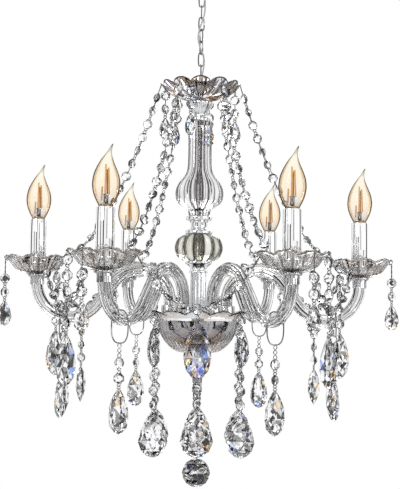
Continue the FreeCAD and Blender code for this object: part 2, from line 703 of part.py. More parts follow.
# -------------------------------------------------------------------------- crystals
def bead(centre, along, face):
    """Flat cut bead, a double pyramid whose widest section lies along the string."""
    side = along.cross(face)
    half = face * (size("bead_thick") / 2)
    girdle = section(centre, along, side, size("bead_radius"), 6, phase=0)
    return skin([[centre + half], girdle, [centre - half]])


def pin(start, end, flat=None):
    """Bow-tie pin between two crystals, flat at each end and turned between them. Flat
    is the way its start lies, such as along the edge of the dish that it hooks."""
    along = (end - start).normalize()
    flat = flat - along * flat.dot(along) if flat else along.cross(Vector(0.31, 0.77, 0.55))
    aside = flat.normalize() * size("pin_radius")
    across, gap = along.cross(aside), along * size("pin_play")
    a, b = start + gap - aside, start + gap + aside
    c, d = end - gap - across, end - gap + across
    solid = Part.Solid(Part.Shell([facet([a, b, c]), facet([a, d, b]), facet([a, c, d]),
                                   facet([b, d, c])]))
    if solid.Volume < 0:
        solid.reverse()
    return solid


def drop(top, length, width, face, thick=0.5):
    """Cut drop that hangs from its tip, flat side towards face."""
    side = face.cross(Vector(0, 0, 1))
    rings = [[top]]
    for down, share in DROP_OUTLINE:
        centre = top - Vector(0, 0, down * length)
        rings.append(section(centre, side * share, face * (share * thick), width / 2, 6, 0))
    rings.append([top - Vector(0, 0, length)])
    return skin(rings)


def string_of_beads(top, count, face, lead=None, flat=None):
    """Beads below one another from a hook, the first one a lead below it. Gives the
    solids and the end below them."""
    solids, end = [], top
    gap = size("bead_pitch") - 2 * size("bead_radius")
    for k in range(count):
        turn = Rotation(Vector(0, 0, 1), 37.0 * k).multVec(face)
        start, end = end, end - Vector(0, 0, gap if k or not lead else lead)
        solids.append(pin(start, end, None if k else flat))
        centre = end - Vector(0, 0, size("bead_radius"))
        solids.append(bead(centre, Vector(0, 0, -1), turn))
        end = centre - Vector(0, 0, size("bead_radius"))
    return solids, end


def pendant(top, count, length, width, face, lead=None, flat=None):
    """String of beads that ends in a cut drop."""
    solids, end = string_of_beads(top, count, face, lead, flat)
    tip = end - Vector(0, 0, size("bead_pitch") - 2 * size("bead_radius"))
    solids.append(pin(end, tip))
    solids.append(drop(tip, length, width, face))
    return solids


def swag(start, end, sag, start_flat, end_flat):
    """An odd number of beads along a hanging curve between two hooks, evenly spaced."""
    def curve(t):
        return start + (end - start) * t - Vector(0, 0, 4 * sag * t * (1 - t))

    steps = 200
    points = [curve(k / steps) for k in range(steps + 1)]
    lengths = [0.0]
    for a, b in zip(points, points[1:]):
        lengths.append(lengths[-1] + a.distanceToPoint(b))

    def at(distance):
        for k in range(steps):
            if lengths[k + 1] >= distance:
                share = (distance - lengths[k]) / (lengths[k + 1] - lengths[k])
                return points[k] + (points[k + 1] - points[k]) * share
        return points[-1]

    count = 2 * int(round(lengths[-1] / size("bead_pitch") / 2)) - 1
    pitch = lengths[-1] / (count + 1)
    solids, last = [], start
    normal = (end - start).cross(Vector(0, 0, 1)).normalize()
    for k in range(1, count + 1):
        centre = at(pitch * k)
        along = (at(pitch * k + 1) - at(pitch * k - 1)).normalize()
        face = Rotation(along, 50.0 * (k - (count + 1) / 2)).multVec(normal)
        solids.append(bead(centre, along, face))
        near = centre - along * size("bead_radius")
        solids.append(pin(last, near, start_flat if k == 1 else None))
        last = centre + along * size("bead_radius")
    solids.append(pin(end, last, end_flat))
    return solids


def rim_hook(outline, petals, notch=0.0, dip=0.0, inset=1.2):
    """Radius and height of a hook under a dish's edge, at the middle of a petal or,
    where a notch and dip are given, between two petals."""
    flat = 1.0 if notch else math.cos(math.pi / (3 * petals))
    edge = max(outline)
    knee = outline[outline.index(edge) - 1]
    reach = (edge[0] - notch) * flat
    slope = (edge[1] - dip - knee[1]) / (reach - knee[0] * flat)
    return reach - inset, edge[1] - dip - slope * inset - 0.1


def dish_point(k, petal_turn, between=False):
    """Hook under the rim of bobeche k, at an angle from its outward direction, and the
    way the rim runs there. Between is a hook between two petals."""
    fall = (size("dish_notch"), size("dish_dip")) if between else ()
    reach, level = rim_hook(dish_outline(), DISH_PETALS, *fall)
    turn = 360.0 / ARMS * k
    return (polar(size("candle_circle"), turn) + polar(reach, turn + petal_turn)
            + Vector(0, 0, level)), polar(1, turn + petal_turn + 90)


def garland_ends(k):
    """Hooks and rim directions of the garland from bobeche k to the next one."""
    valley = 360.0 / DISH_PETALS * 2.5
    return dish_point(k, valley, True), dish_point(k + 1, -valley, True)


def make_garlands():
    reach, level = rim_hook(crown_outline(), CROWN_PETALS)
    solids = []
    for k in range(ARMS):
        turn = 360.0 / ARMS * k
        end, end_flat = dish_point(k, 180)
        solids += swag(polar(reach, turn, level), end, size("festoon_sag"),
                       polar(1, turn + 90), end_flat)
        (start, start_flat), (end, end_flat) = garland_ends(k)
        solids += swag(start, end, size("garland_sag"), start_flat, end_flat)
    add_node("crystal_garlands", solids)


def facing(k, spread):
    """Flat side of hanging crystal k, turned a little to either side of the front."""
    return polar(1, 270 + spread * ((5 * k + 3) % 7 - 3))


# the garland that crosses in front of the almond, and hangs nothing before it
FRONT_GARLAND = 4


def make_fixed_drops():
    reach, level = rim_hook(crown_outline(), CROWN_PETALS, size("crown_notch"),
                            size("crown_dip"))
    under_bead = size("bead_radius") * math.cos(math.radians(30))
    solids = []
    for k in range(ARMS):
        turn = 360.0 / ARMS * k + 15
        solids += pendant(polar(reach, turn, level), 2, 31, 17, facing(k, 12),
                          flat=polar(1, turn + 90))
        if k != FRONT_GARLAND:
            middle = (garland_ends(k)[0][0] + garland_ends(k)[1][0]) * 0.5
            middle.z -= size("garland_sag") + under_bead
            solids += pendant(middle, 4, 54, 18, facing(k, 15))
        hook, flat = dish_point(k, STRAND_TURNS[k])
        solids += pendant(hook, 5, 62, 26, facing(k, 13), flat=flat)
    add_node("fixed_drops", solids)


def make_moving_drops(bow_foot):
    for k in range(ARMS):
        spin = Rotation(Vector(0, 0, 1), 360.0 / ARMS * k)
        hook, flat = dish_point(k, 0)
        add_node(f"outer_drop_{k + 1}", pendant(hook, 2, 35, 20, facing(k, 10),
                                                1.5 * size("hook_length"), flat))
        hook = spin.multVec(bow_foot) - Vector(0, 0, size("bow_wire") * 0.71 + 0.1)
        outward = polar(1, 360.0 / ARMS * k)
        add_node(f"arm_drop_{k + 1}", pendant(hook, 2, 56, 30, outward, size("hook_length")))
        add_node(f"bowl_strand_{k + 1}", bowl_strand(k))

    hook = Vector(0, 0, finial_ring - size("finial_ring") - size("finial_wire") * 0.87 - 0.1)
    solids, end = string_of_beads(hook, 6, Vector(0, -1, 0))
    low = end - Vector(0, 0, 5)
    radius = size("ball_drop_radius")
    solids.append(pin(end, low))
    rings = [(0, low.z)] + [(radius * math.sin(math.radians(a)),
                             low.z - radius + radius * math.cos(math.radians(a)))
                            for a in (36, 72, 108, 144)] + [(0, low.z - 2 * radius)]
    solids.append(turned(rings, 8, closed=False))
    add_node("centre_drop", solids)


def bowl_strand(k):
    """Strand from the bowl's rim. The front one starts with a large almond."""
    turn = 360.0 / ARMS * (k + 0.5)
    reach, level = rim_hook(bowl_outline(), CROWN_PETALS)
    spot, flat = polar(reach, turn, level), polar(1, turn + 90)
    if abs(turn - 270.0) > 1:
        return pendant(spot, 7, 59, 40, facing(k, 6), flat=flat)
    tip = spot - Vector(0, 0, 10)
    long, front = size("almond_length"), polar(1, turn)
    solids = [pin(spot, tip, flat), drop(tip, long, size("almond_width"), front, thick=0.4)]
    return solids + pendant(tip - Vector(0, 0, long), 2, 59, 44, front)


# ----------------------------------------------------------------------- build, write
def build():
    make_suspension()
    make_rod()
    make_crown()
    make_column()
    make_hub()
    make_bowl()
    make_arms()
    make_bobeches()
    make_candles()
    make_bulbs()
    make_moving_drops(make_bows())
    make_garlands()
    make_fixed_drops()
    doc.recompute()


def check():
    for part in doc.Objects:
        if "Invalid" in part.State or "Error" in part.State:
            raise RuntimeError(f"{part.Label} did not build: {part.State}")
    for name, part in nodes.items():
        if part.Shape.isNull() or not part.Shape.isValid():
            raise RuntimeError(f"{name} has no valid shape")


build()
check()
os.makedirs("parts", exist_ok=True)
for name, part in nodes.items():
    part.Shape.exportStep(f"parts/{name}.step")
print(f"{len(nodes)} nodes written")
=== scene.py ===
import math

import bmesh
import bpy
import numpy as np
from mathutils import Matrix, Vector


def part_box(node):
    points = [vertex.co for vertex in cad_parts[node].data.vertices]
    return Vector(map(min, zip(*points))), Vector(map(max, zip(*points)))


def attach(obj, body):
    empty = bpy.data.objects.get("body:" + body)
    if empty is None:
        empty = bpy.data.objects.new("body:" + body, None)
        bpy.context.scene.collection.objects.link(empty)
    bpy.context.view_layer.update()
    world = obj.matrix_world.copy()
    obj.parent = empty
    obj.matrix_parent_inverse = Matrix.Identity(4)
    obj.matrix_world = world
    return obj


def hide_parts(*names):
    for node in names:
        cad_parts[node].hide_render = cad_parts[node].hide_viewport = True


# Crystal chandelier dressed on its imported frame. Metres, +Z up, the ceiling at Z = 0.

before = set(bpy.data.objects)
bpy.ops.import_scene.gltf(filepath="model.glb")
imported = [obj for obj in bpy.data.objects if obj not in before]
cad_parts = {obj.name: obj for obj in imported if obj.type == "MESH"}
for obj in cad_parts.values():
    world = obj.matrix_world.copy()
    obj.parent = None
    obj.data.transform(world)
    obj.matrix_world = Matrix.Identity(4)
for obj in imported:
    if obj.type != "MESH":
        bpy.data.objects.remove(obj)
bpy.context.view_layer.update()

MM = 0.001
ARMS = 6
ARM_STEP = 360 // ARMS          # degrees from one arm to the next
ARM_TURNS = [Matrix.Rotation(math.radians(ARM_STEP * k), 4, "Z") for k in range(ARMS)]
FIXED = "chandelier"            # the body of all that doesn't swing on the lamp itself
UP = Vector((0, 0, 1))
OUTWARDS = Vector((1, 0, 0))    # from the stem along the first arm

# places of the CAD model that several pieces share
LAMP_CIRCLE = 225.0 * MM        # radius on which the lamps stand
ARM_ROOT = 39.5 * MM            # radius on which the arms rise from the hub
ARM_FOOT = -519.1 * MM          # levels of the arms' ends
ARM_TIP = -473.5 * MM
DISH_SEAT = -467.2 * MM         # level on which the drip dishes sit
ROD_BORE = 5.3 * MM
AT_LAMP = Matrix.Translation((LAMP_CIRCLE, 0, 0))


# ---------- materials
class Surface:
    """A node material. Constants go on the shader's own sockets."""

    def __init__(self, name, color=(0.8, 0.8, 0.8), **inputs):
        self.material = bpy.data.materials.new(name)
        self.material.use_nodes = True
        self.nodes = self.material.node_tree.nodes
        self.links = self.material.node_tree.links
        self.shader = self.nodes["Principled BSDF"]
        self.shader.inputs["Base Color"].default_value = (*color, 1)
        for socket, value in inputs.items():
            self.shader.inputs[socket.replace("_", " ")].default_value = value

    def node(self, kind, **settings):
        """A new node. Settings are its input sockets or its properties."""
        made = self.nodes.new(kind)
        for key, value in settings.items():
            if key in made.inputs:
                made.inputs[key].default_value = value
            else:
                setattr(made, key, value)
        return made

    def noise(self, scale, detail=3.0, stretch=(1, 1, 1)):
        """Cloudy factor in the object's own space."""
        place = self.node("ShaderNodeTexCoord")
        spread = self.node("ShaderNodeMapping")
        spread.inputs["Scale"].default_value = stretch
        pattern = self.node("ShaderNodeTexNoise", Scale=scale, Detail=detail)
        self.links.new(place.outputs["Object"], spread.inputs["Vector"])
        self.links.new(spread.outputs["Vector"], pattern.inputs["Vector"])
        return pattern.outputs["Fac"]

    def height(self, start, end):
        """Factor that goes from 0 to 1 between two levels."""
        place = self.node("ShaderNodeTexCoord")
        level = self.node("ShaderNodeSeparateXYZ")
        share = self.node("ShaderNodeMapRange")
        share.inputs["From Min"].default_value = start
        share.inputs["From Max"].default_value = end
        self.links.new(place.outputs["Object"], level.inputs["Vector"])
        self.links.new(level.outputs["Z"], share.inputs["Value"])
        return share.outputs["Result"]

    def painted_face_shade(self):
        """The painted shade that piece() writes on every face."""
        return self.node("ShaderNodeAttribute", attribute_name="painted_face_shade").outputs["Fac"]

    def ramp(self, source, stops, blend="LINEAR"):
        """Colours along a factor, as (place, colour) stops."""
        made = self.node("ShaderNodeValToRGB")
        band = made.color_ramp
        band.interpolation = blend
        while len(band.elements) < len(stops):
            band.elements.new(0.5)
        for element, (place, color) in zip(band.elements, stops):
            element.position = place
            element.color = (*color, 1)
        self.links.new(source, made.inputs["Fac"])
        return made.outputs["Color"]

    def outline(self, stops):
        """Painted shade: colours from where the surface is seen face on to where it is seen edge on.
        """
        facing = self.node("ShaderNodeLayerWeight", Blend=0.5)
        return self.ramp(facing.outputs["Facing"], stops)

    def multiply(self, one, other):
        made = self.node("ShaderNodeMix", data_type="RGBA", blend_type="MULTIPLY")
        made.inputs[0].default_value = 1.0
        self.links.new(one, made.inputs[6])
        self.links.new(other, made.inputs[7])
        return made.outputs[2]

    def paint(self, color):
        self.links.new(color, self.shader.inputs["Base Color"])

    def bump(self, source, height, strength, shader=None):
        """Fine relief on the main shader, or on another one."""
        made = self.node("ShaderNodeBump", Distance=height, Strength=strength)
        self.links.new(source, made.inputs["Height"])
        self.links.new(made.outputs["Normal"], (shader or self.shader).inputs["Normal"])


def grey(value):
    return (value, value, value)


def dimmed(color, share):
    return tuple(part * share for part in color)


def crystal_material():
    """Cut lead crystal. Each of its faces is painted a shade of its own, from black through white to
    a few coloured flashes, and painted darker towards the outline.
    """
    made = Surface("crystal_cut", Transmission_Weight=1.0, IOR=1.5, Roughness=0.0)
    # painted reflections: black, grey and white faces, and a few painted flashes of orange, blue,
    # violet and brown
    painted_sparkle = made.ramp(made.painted_face_shade(), (
        (0.0, grey(0.005)), (0.14, grey(0.10)), (0.26, grey(0.45)), (0.38, (0.985, 0.985, 1.0)),
        (0.91, (0.95, 0.5, 0.18)), (0.923, (0.12, 0.25, 0.9)), (0.95, (0.8, 0.84, 1.0)),
        (0.97, (0.5, 0.35, 0.9)), (0.985, (0.55, 0.42, 0.32))), "CONSTANT")
    # painted shade, darker where the crystal is seen edge on
    edge = made.outline(((0.0, grey(1.0)), (0.6, grey(0.95)), (0.85, grey(0.35)), (1.0, grey(0.02))))
    made.paint(made.multiply(painted_sparkle, edge))
    return made.material


def glass_material(name, face, slope, edge, streak, waves, bend, groove):
    """Pressed or blown glass: clear face on, with painted shade from grey to black towards its
    outline and painted dark lines in the grooves of its ribs or petals, with faint waves and smoky
    streaks."""
    made = Surface(name, Transmission_Weight=1.0, IOR=bend, Roughness=0.015)
    made.bump(made.noise(waves, 1.0), 0.0006, 0.25)
    streaks = made.ramp(made.noise(38.0, 2.0), ((0.34, streak), (0.6, grey(1.0))))
    # painted shade: the glass's tint face on, slope and edge painted darker towards the outline
    outline = made.outline(((0.0, face), (0.42, face), (0.74, slope), (1.0, edge)))
    # painted shade: dark lines in the grooves of ribs, at the creases between petals and at their
    # rims
    lines = made.ramp(made.painted_face_shade(), ((0.05, groove), (0.32, grey(1.0))))
    made.paint(made.multiply(made.multiply(streaks, outline), lines))
    return made.material


def chrome_material(name, color, roughness=0.06):
    made = Surface(name, color, Metallic=1.0, Roughness=roughness)
    made.paint(made.ramp(made.noise(500.0, 4.0), ((0.3, dimmed(color, 0.9)), (0.7, color))))
    made.bump(made.noise(900.0, 2.0), 0.00002, 0.15)
    return made.material


def smoke_material():
    """Smoked mirror inside the bowl: grey, turning darker and browner towards its foot, with dark
    clouds all over.
    """
    made = Surface("smoke_mirror", Metallic=1.0, Roughness=0.05)
    rim, foot = -0.529, -0.569
    depth = made.ramp(made.height(rim, foot), (
        (0.0, (0.52, 0.53, 0.57)), (0.4, (0.44, 0.43, 0.45)), (0.62, (0.30, 0.25, 0.23)),
        (0.85, (0.34, 0.25, 0.20)), (1.0, (0.22, 0.19, 0.18))))
    cloud = made.ramp(made.noise(42.0, 3.0, (1, 1, 1.6)), (
        (0.32, grey(0.12)), (0.46, grey(0.8)), (0.7, grey(1.0))))
    made.paint(made.multiply(depth, cloud))
    made.bump(made.noise(55.0, 2.0), 0.0016, 0.5)
    return made.material


def bulb_material():
    """Thin blown glass, warm in the middle, with painted shade greying it at its outline, neck and
    tip.
    """
    made = Surface("bulb_amber")
    # painted shade, darker where the bulb is seen edge on
    outline = made.outline((
        (0.0, (1.0, 0.998, 0.99)), (0.26, (1.0, 0.99, 0.955)), (0.46, (0.98, 0.92, 0.83)),
        (0.57, (0.86, 0.76, 0.65)), (0.63, (0.30, 0.27, 0.25)), (1.0, (0.02, 0.02, 0.02))))
    # amber in the middle, with painted shade grey at the neck and the tip
    neck, tip = -0.39, -0.3136
    amber_and_painted_shade = made.ramp(made.height(neck, tip), (
        (0.0, (0.66, 0.66, 0.70)), (0.11, (0.90, 0.88, 0.87)), (0.3, (1.0, 0.94, 0.86)),
        (0.6, (1.0, 0.97, 0.91)), (0.84, (1.0, 0.99, 0.93)), (0.93, (0.76, 0.73, 0.67)),
        (1.0, (0.38, 0.36, 0.33))))
    clear = made.node("ShaderNodeBsdfTransparent")
    made.links.new(made.multiply(outline, amber_and_painted_shade), clear.inputs["Color"])
    shine = made.node("ShaderNodeBsdfGlossy", Roughness=0.03, Color=(0.9, 0.82, 0.7, 1))
    made.bump(made.noise(50.0, 1.0), 0.0003, 0.2, shine)
    gloss = made.node("ShaderNodeMath", operation="MULTIPLY")
    made.links.new(made.node("ShaderNodeFresnel", IOR=1.3).outputs["Fac"], gloss.inputs[0])
    gloss.inputs[1].default_value = 0.4
    mix = made.node("ShaderNodeMixShader")
    made.links.new(gloss.outputs[0], mix.inputs["Fac"])
    made.links.new(clear.outputs["BSDF"], mix.inputs[1])
    made.links.new(shine.outputs["BSDF"], mix.inputs[2])
    made.links.new(mix.outputs["Shader"], made.nodes["Material Output"].inputs["Surface"])
    return made.material


def filament_material():
    made = Surface("filament_yellow", (0.60, 0.35, 0.15), Roughness=0.6)
    made.bump(made.noise(900.0), 0.0002, 0.5)
    return made.material


def plastic_material(name, color, roughness):
    made = Surface(name, color, Roughness=roughness)
    made.paint(made.ramp(made.noise(160.0, 3.0), ((0.35, dimmed(color, 0.93)), (0.7, color))))
    made.bump(made.noise(1200.0, 2.0), 0.00003, 0.2)
    return made.material


MATERIALS = {
    "crystal": crystal_material(),
    # glass: face is its tint, slope and edge the painted shade towards the outline, groove the
    # painted dark of its lines
    "arm": glass_material("glass_arm", grey(0.96), grey(0.45), grey(0.03), streak=grey(0.92),
                          waves=20.0, bend=1.24, groove=grey(0.34)),
    "column": glass_material("glass_column", (0.92, 0.92, 0.94), grey(0.16), grey(0.005),
                             streak=(0.82, 0.79, 0.78), waves=40.0, bend=1.22, groove=grey(0.04)),
    "ball": glass_material("glass_ball", (0.84, 0.83, 0.78), grey(0.10), grey(0.005),
                           streak=(0.66, 0.63, 0.57), waves=40.0, bend=1.3, groove=grey(0.03)),
    "crown": glass_material("glass_crown", (0.90, 0.90, 0.98), grey(0.12), grey(0.0),
                            streak=(0.52, 0.38, 0.25), waves=24.0, bend=1.5, groove=grey(0.12)),
    "dish": glass_material("glass_dish", grey(0.98), (0.30, 0.29, 0.28), grey(0.01),
                           streak=(0.84, 0.79, 0.75), waves=24.0, bend=1.2, groove=grey(0.22)),
    "chrome": chrome_material("chrome_polished", (0.80, 0.81, 0.82)),
    "sleeve": chrome_material("chrome_sleeve", (0.96, 0.96, 0.97), 0.03),
    "ferrule": chrome_material("chrome_ferrule", (0.52, 0.52, 0.53), 0.08),
    "chain": chrome_material("nickel_chain", (0.24, 0.24, 0.25), 0.2),
    "wire": chrome_material("nickel_wire", (0.22, 0.22, 0.23), 0.15),
    "rod": chrome_material("nickel_rod", (0.42, 0.42, 0.40), 0.12),
    "smoke": smoke_material(),
    "bulb": bulb_material(),
    "filament": filament_material(),
    "brass": chrome_material("cap_brass", (0.78, 0.62, 0.36), 0.18),
    "steel": chrome_material("steel_plated", (0.62, 0.63, 0.65), 0.3),
    "plastic": plastic_material("holder_plastic", (0.86, 0.85, 0.82), 0.4),
    "cable": plastic_material("cable_jacket", (0.30, 0.30, 0.32), 0.25),
}


# ---------- mesh helpers
class Shape:
    """Vertices and faces gathered for one piece. Its painted shades say how light or dark its faces
    are painted, in their order, and piece() leaves the faces past them plain."""

    def __init__(self):
        self.verts, self.faces, self.painted_shades = [], [], []

    def skin(self, rings, loop=False):
        """Faces through rings of points. A ring of one point is a tip, loop joins the
        last ring to the first, and open ends of many points are closed flat."""
        marks = [self.add_ring(ring) for ring in rings]
        for a, b in zip(marks, marks[1:] + ([marks[0]] if loop else [])):
            self.faces += [tuple(dict.fromkeys((a0, a1, b1, b0))) for a0, a1, b0, b1 in band(a, b)]
        if not loop:
            self.faces += [end for end in (tuple(reversed(marks[0])), tuple(marks[-1]))
                           if len(end) > 2]
        return self

    def add_ring(self, ring):
        """Adds points, and returns the numbers of their vertices."""
        start = len(self.verts)
        self.verts += ring
        return range(start, len(self.verts))

    def move(self, matrix):
        self.verts = [matrix @ v for v in self.verts]
        return self

    def join(self, other):
        start = len(self.verts)
        self.verts += other.verts
        self.faces += [tuple(i + start for i in face) for face in other.faces]
        self.painted_shades += other.painted_shades
        return self

    def copy(self):
        return Shape().join(self)


def band(a, b):
    """Corners of the faces between two rings: two from each, or a tip twice."""
    count = max(len(a), len(b))
    for i in range(count):
        j = (i + 1) % count
        yield a[i % len(a)], a[j % len(a)], b[i % len(b)], b[j % len(b)]


def piece(name, shape, material, body, replaces=(), sharp=40.0):
    """A finished object from a shape, whose painted shades become a face attribute. Sharp is the
    angle above which an edge stays crisp, and 0 leaves every face flat."""
    mesh = mesh_of(name, shape, MATERIALS[material])
    mesh.validate()
    turn_outwards(mesh)
    if sharp:
        mesh.shade_smooth()
        mesh.set_sharp_from_angle(angle=math.radians(sharp))
    # painted shades on the faces, and plain where the shape gives none
    painted_shades = shape.painted_shades + [1.0] * (len(mesh.polygons) - len(shape.painted_shades))
    mesh.attributes.new("painted_face_shade", "FLOAT", "FACE").data.foreach_set("value", painted_shades)
    made = put_in_scene(name, mesh)
    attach(made, body)
    if replaces:
        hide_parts(*replaces)


def mesh_of(name, shape, material):
    mesh = bpy.data.meshes.new(name)
    mesh.from_pydata([tuple(v) for v in shape.verts], [], shape.faces)
    mesh.materials.append(material)
    return mesh


def put_in_scene(name, data):
    made = bpy.data.objects.new(name, data)
    bpy.context.scene.collection.objects.link(made)
    return made


def turn_outwards(mesh):
    """Faces turned so that their normals point out of the piece."""
    work = bmesh.new()
    work.from_mesh(mesh)
    bmesh.ops.recalc_face_normals(work, faces=work.faces)
    work.to_mesh(mesh)
    work.free()


def polar(radius, degrees, z=0.0):
    angle = math.radians(degrees)
    return Vector((radius * math.cos(angle), radius * math.sin(angle), z))


def circle(steps, phase=0.0):
    """Cosine and sine of even steps round a circle, the first one moved by a phase."""
    turns = [2 * math.pi * (k + phase) / steps for k in range(steps)]
    return [(math.cos(turn), math.sin(turn)) for turn in turns]


def arc(centre, radius, start, end, steps):
    """Points on an upright arc, from one angle to another in degrees."""
    points = []
    for k in range(steps + 1):
        turn = math.radians(start + (end - start) * k / steps)
        points.append(centre + OUTWARDS * (radius * math.cos(turn)) + UP * (radius * math.sin(turn)))
    return points


def smooth(points, steps):
    """A flowing line through the points. A point given twice stays a corner."""
    line = []
    count = len(points)
    for k in range(count - 1):
        before, a, b, after = (np.array(points[max(0, min(count - 1, k + n))], float)
                               for n in (-1, 0, 1, 2))
        if np.allclose(a, b):
            continue
        for step in range(steps):
            t = step / steps
            line.append(tuple(0.5 * (2 * a + (b - before) * t
                                     + (2 * before - 5 * a + 4 * b - after) * t * t
                                     + (3 * a - before - 3 * b + after) * t ** 3)))
    line.append(tuple(points[-1]))
    return line


def in_mm(outline, level):
    """An outline of (radius, height over a level) in mm, set in metres."""
    return [(radius * MM, level + up * MM) for radius, up in outline]


def scaled(outline, wide, bottom, tall):
    """An outline of (share of the radius, share of the height), set in metres."""
    return [(wide * out, bottom + tall * up) for out, up in outline]


def turned(outline, sides, ribs=0, depth=0.0, bore=None):
    """Turned piece from (radius, z) pairs, which run round if the last is the first. Ribs
    have grooves of a depth given as a share of the radius, and a bore can be added."""
    rings = []
    for radius, z in outline:
        ring = []
        for k in range(sides):
            turn = 360.0 * k / sides
            groove = abs(math.sin(math.radians(turn * ribs / 2))) ** 3
            ring.append(polar(radius * (1 - depth * groove), turn, z))
        rings.append(ring if radius > 1e-7 else [Vector((0, 0, z))])
    if bore:
        rings += [[polar(bore, 360.0 * k / sides, z) for k in range(sides)]
                  for z in (outline[-1][1], outline[0][1])]
    shape = Shape().skin(rings, loop=bool(bore) or outline[0] == outline[-1])
    # painted shade, darker in the grooves of the ribs
    if ribs:
        shape.painted_shades = [1 - abs(math.sin(math.pi * ribs * (k % sides + 0.5) / sides)) ** 3
                       for k in range((len(outline) - 1) * sides)]
    return shape


def tube(path, radius, sides, closed=False, ribs=0, depth=0.0, bore=None):
    """Round or ribbed bar along a path of points, or a pipe with a bore."""
    frames = []
    count = len(path)
    side = None
    for k, point in enumerate(path):
        before = path[k - 1] if (k or closed) else point
        after = path[(k + 1) % count] if (closed or k + 1 < count) else point
        along = (after - before).normalized()
        if side is None:
            side = along.orthogonal().normalized()
        side = (side - along * side.dot(along)).normalized()
        frames.append((point, side, along.cross(side)))
    rings = []
    for hollow in ((False, True) if bore else (False,)):
        for point, side, up in (reversed(frames) if hollow else frames):
            ring = []
            for n in range(sides):
                turn = 2 * math.pi * n / sides
                groove = 0.5 - 0.5 * math.cos(turn * ribs)
                out = bore if hollow else radius * (1 - depth * groove)
                ring.append(point + side * (out * math.cos(turn)) + up * (out * math.sin(turn)))
            rings.append(ring)
    shape = Shape().skin(rings, loop=closed or bool(bore))
    # painted shade, darker in the grooves of the ribs
    if ribs:
        shape.painted_shades = [0.5 + 0.5 * math.cos(2 * math.pi * ribs * (k % sides + 0.5) / sides)
                       for k in range((count - 1) * sides)]
    return shape


def wire_ring(centre, radius, wire, steps, sides):
    """Closed upright ring of wire."""
    return tube(arc(centre, radius, 0, 360 - 360 / steps, steps - 1), wire, sides, closed=True)


PETAL_STEPS = 16       # points along the edge of one petal
RIPPLES = 4            # small folds across one petal


def petalled(bore, bottom, outside, inside, petals, notch, dip, fold, painted_crease_shade=1.0):
    """Dish whose edge has rounded petals with a valley between each two. Outside and inside run from
    the bore to the rim and back. The painted shade of the creases says how dark the painted lines are
    that run in from between the petals."""
    outside = smooth(outside, 4)
    outline = [(bore, bottom)] + outside + smooth(inside, 4)
    rim, count = len(outside), petals * PETAL_STEPS
    edge = outline[rim][0]
    hole = min(radius for radius, z in outline)
    shape, rings = Shape(), []
    for number, (radius, z) in enumerate(outline):
        share = max(0.0, (radius - hole) / (edge - hole))
        swell = math.sin(math.pi * share) ** 0.5
        ring = []
        for k in range(count):
            turn = k * 360.0 / count
            valley = 1 - abs(math.cos(math.radians(turn * petals / 2))) ** 0.7
            ripple = fold * math.cos(math.radians(turn * petals * RIPPLES)) * swell
            ring.append(polar(radius - notch * valley * share ** 4, turn,
                              z - dip * valley * share ** 3 + ripple))
            # painted shade: dark rows at the rim, and dark lines that run in from between the petals
            line = 0.5 - 0.5 * math.cos(4 * math.pi * (k + 0.5) / PETAL_STEPS)
            shape.painted_shades.append(0.14 if number in (rim - 1, rim) else 1 - painted_crease_shade * line)
        rings.append(ring)
    return shape.skin(rings, loop=True)


def around(shape):
    """Copies of a shape at all the arms, joined."""
    made = Shape()
    for turn in ARM_TURNS:
        made.join(shape.copy().move(turn))
    return made


# ---------- where the frame's parts are
def islands(node):
    """The separate solids of a CAD node, each as an array of its corner points."""
    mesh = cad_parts[node].data
    points = np.array([v.co for v in mesh.vertices], float)
    keys, index = np.unique(np.round(points, 6), axis=0, return_inverse=True)
    index = index.ravel()
    group = list(range(len(keys)))

    def root(i):
        while group[i] != i:
            group[i] = group[group[i]]
            i = group[i]
        return i

    for face in mesh.polygons:
        first = root(index[face.vertices[0]])
        for other in face.vertices[1:]:
            group[root(index[other])] = first
    found = {}
    for i in range(len(keys)):
        found.setdefault(root(i), []).append(keys[i])
    return [np.array(found[key]) for key in sorted(found)]


def axes_of(points):
    """Middle of some points, and their directions from the longest to the shortest."""
    middle = points.mean(axis=0)
    values, vectors = np.linalg.eigh(np.cov((points - middle).T))
    return Vector(middle), [Vector(vectors[:, k]) for k in (2, 1, 0)]


def half_size(points, middle, direction):
    """How far points reach from their middle along a direction."""
    return np.abs((points - np.array(middle)) @ np.array(direction)).max()


def low(node):
    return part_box(node)[0].z


def high(node):
    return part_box(node)[1].z


def reach(node):
    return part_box(node)[1].x


# ---------- hanging fittings
CHAIN_WIRE = 1.0 * MM
BOW_WIRE = 0.9 * MM


def hang_fittings():
    piece("top_link_wire", chain_link(islands("top_link")[0]), "chain", "first_link",
          ("top_link",))
    chain = Shape()
    for points in islands("chain"):
        chain.join(chain_link(points))
    piece("chain_wire", chain, "chain", "chain_run", ("chain",))
    for name, body, cup_up in (("canopy_loop", "ceiling_fitting", False),
                               ("stem_loop", "screw_collar", True)):
        piece(f"{name}_turned", collar(name, cup_up), "chrome", body, (name,))
    piece("canopy_shell", canopy(), "chrome", "ceiling_fitting", ("ceiling_canopy",))


def chain_link(points):
    """Smooth link with straight sides and round ends, in the place of a CAD one."""
    middle, (along, across, _) = axes_of(points)
    tall = half_size(points, middle, along) - CHAIN_WIRE
    wide = half_size(points, middle, across) - CHAIN_WIRE
    path = []
    for c, s in circle(28):
        straight = (tall - wide) * math.copysign(min(1.0, abs(s) * 1.6), s)
        path.append(middle + across * (wide * squared(c, 0.8)) + along * (straight + wide * s))
    return tube(path, CHAIN_WIRE, 8, closed=True)


def squared(value, power):
    """A sine or cosine bent so that its circle gets fuller corners."""
    return math.copysign(abs(value) ** power, value)


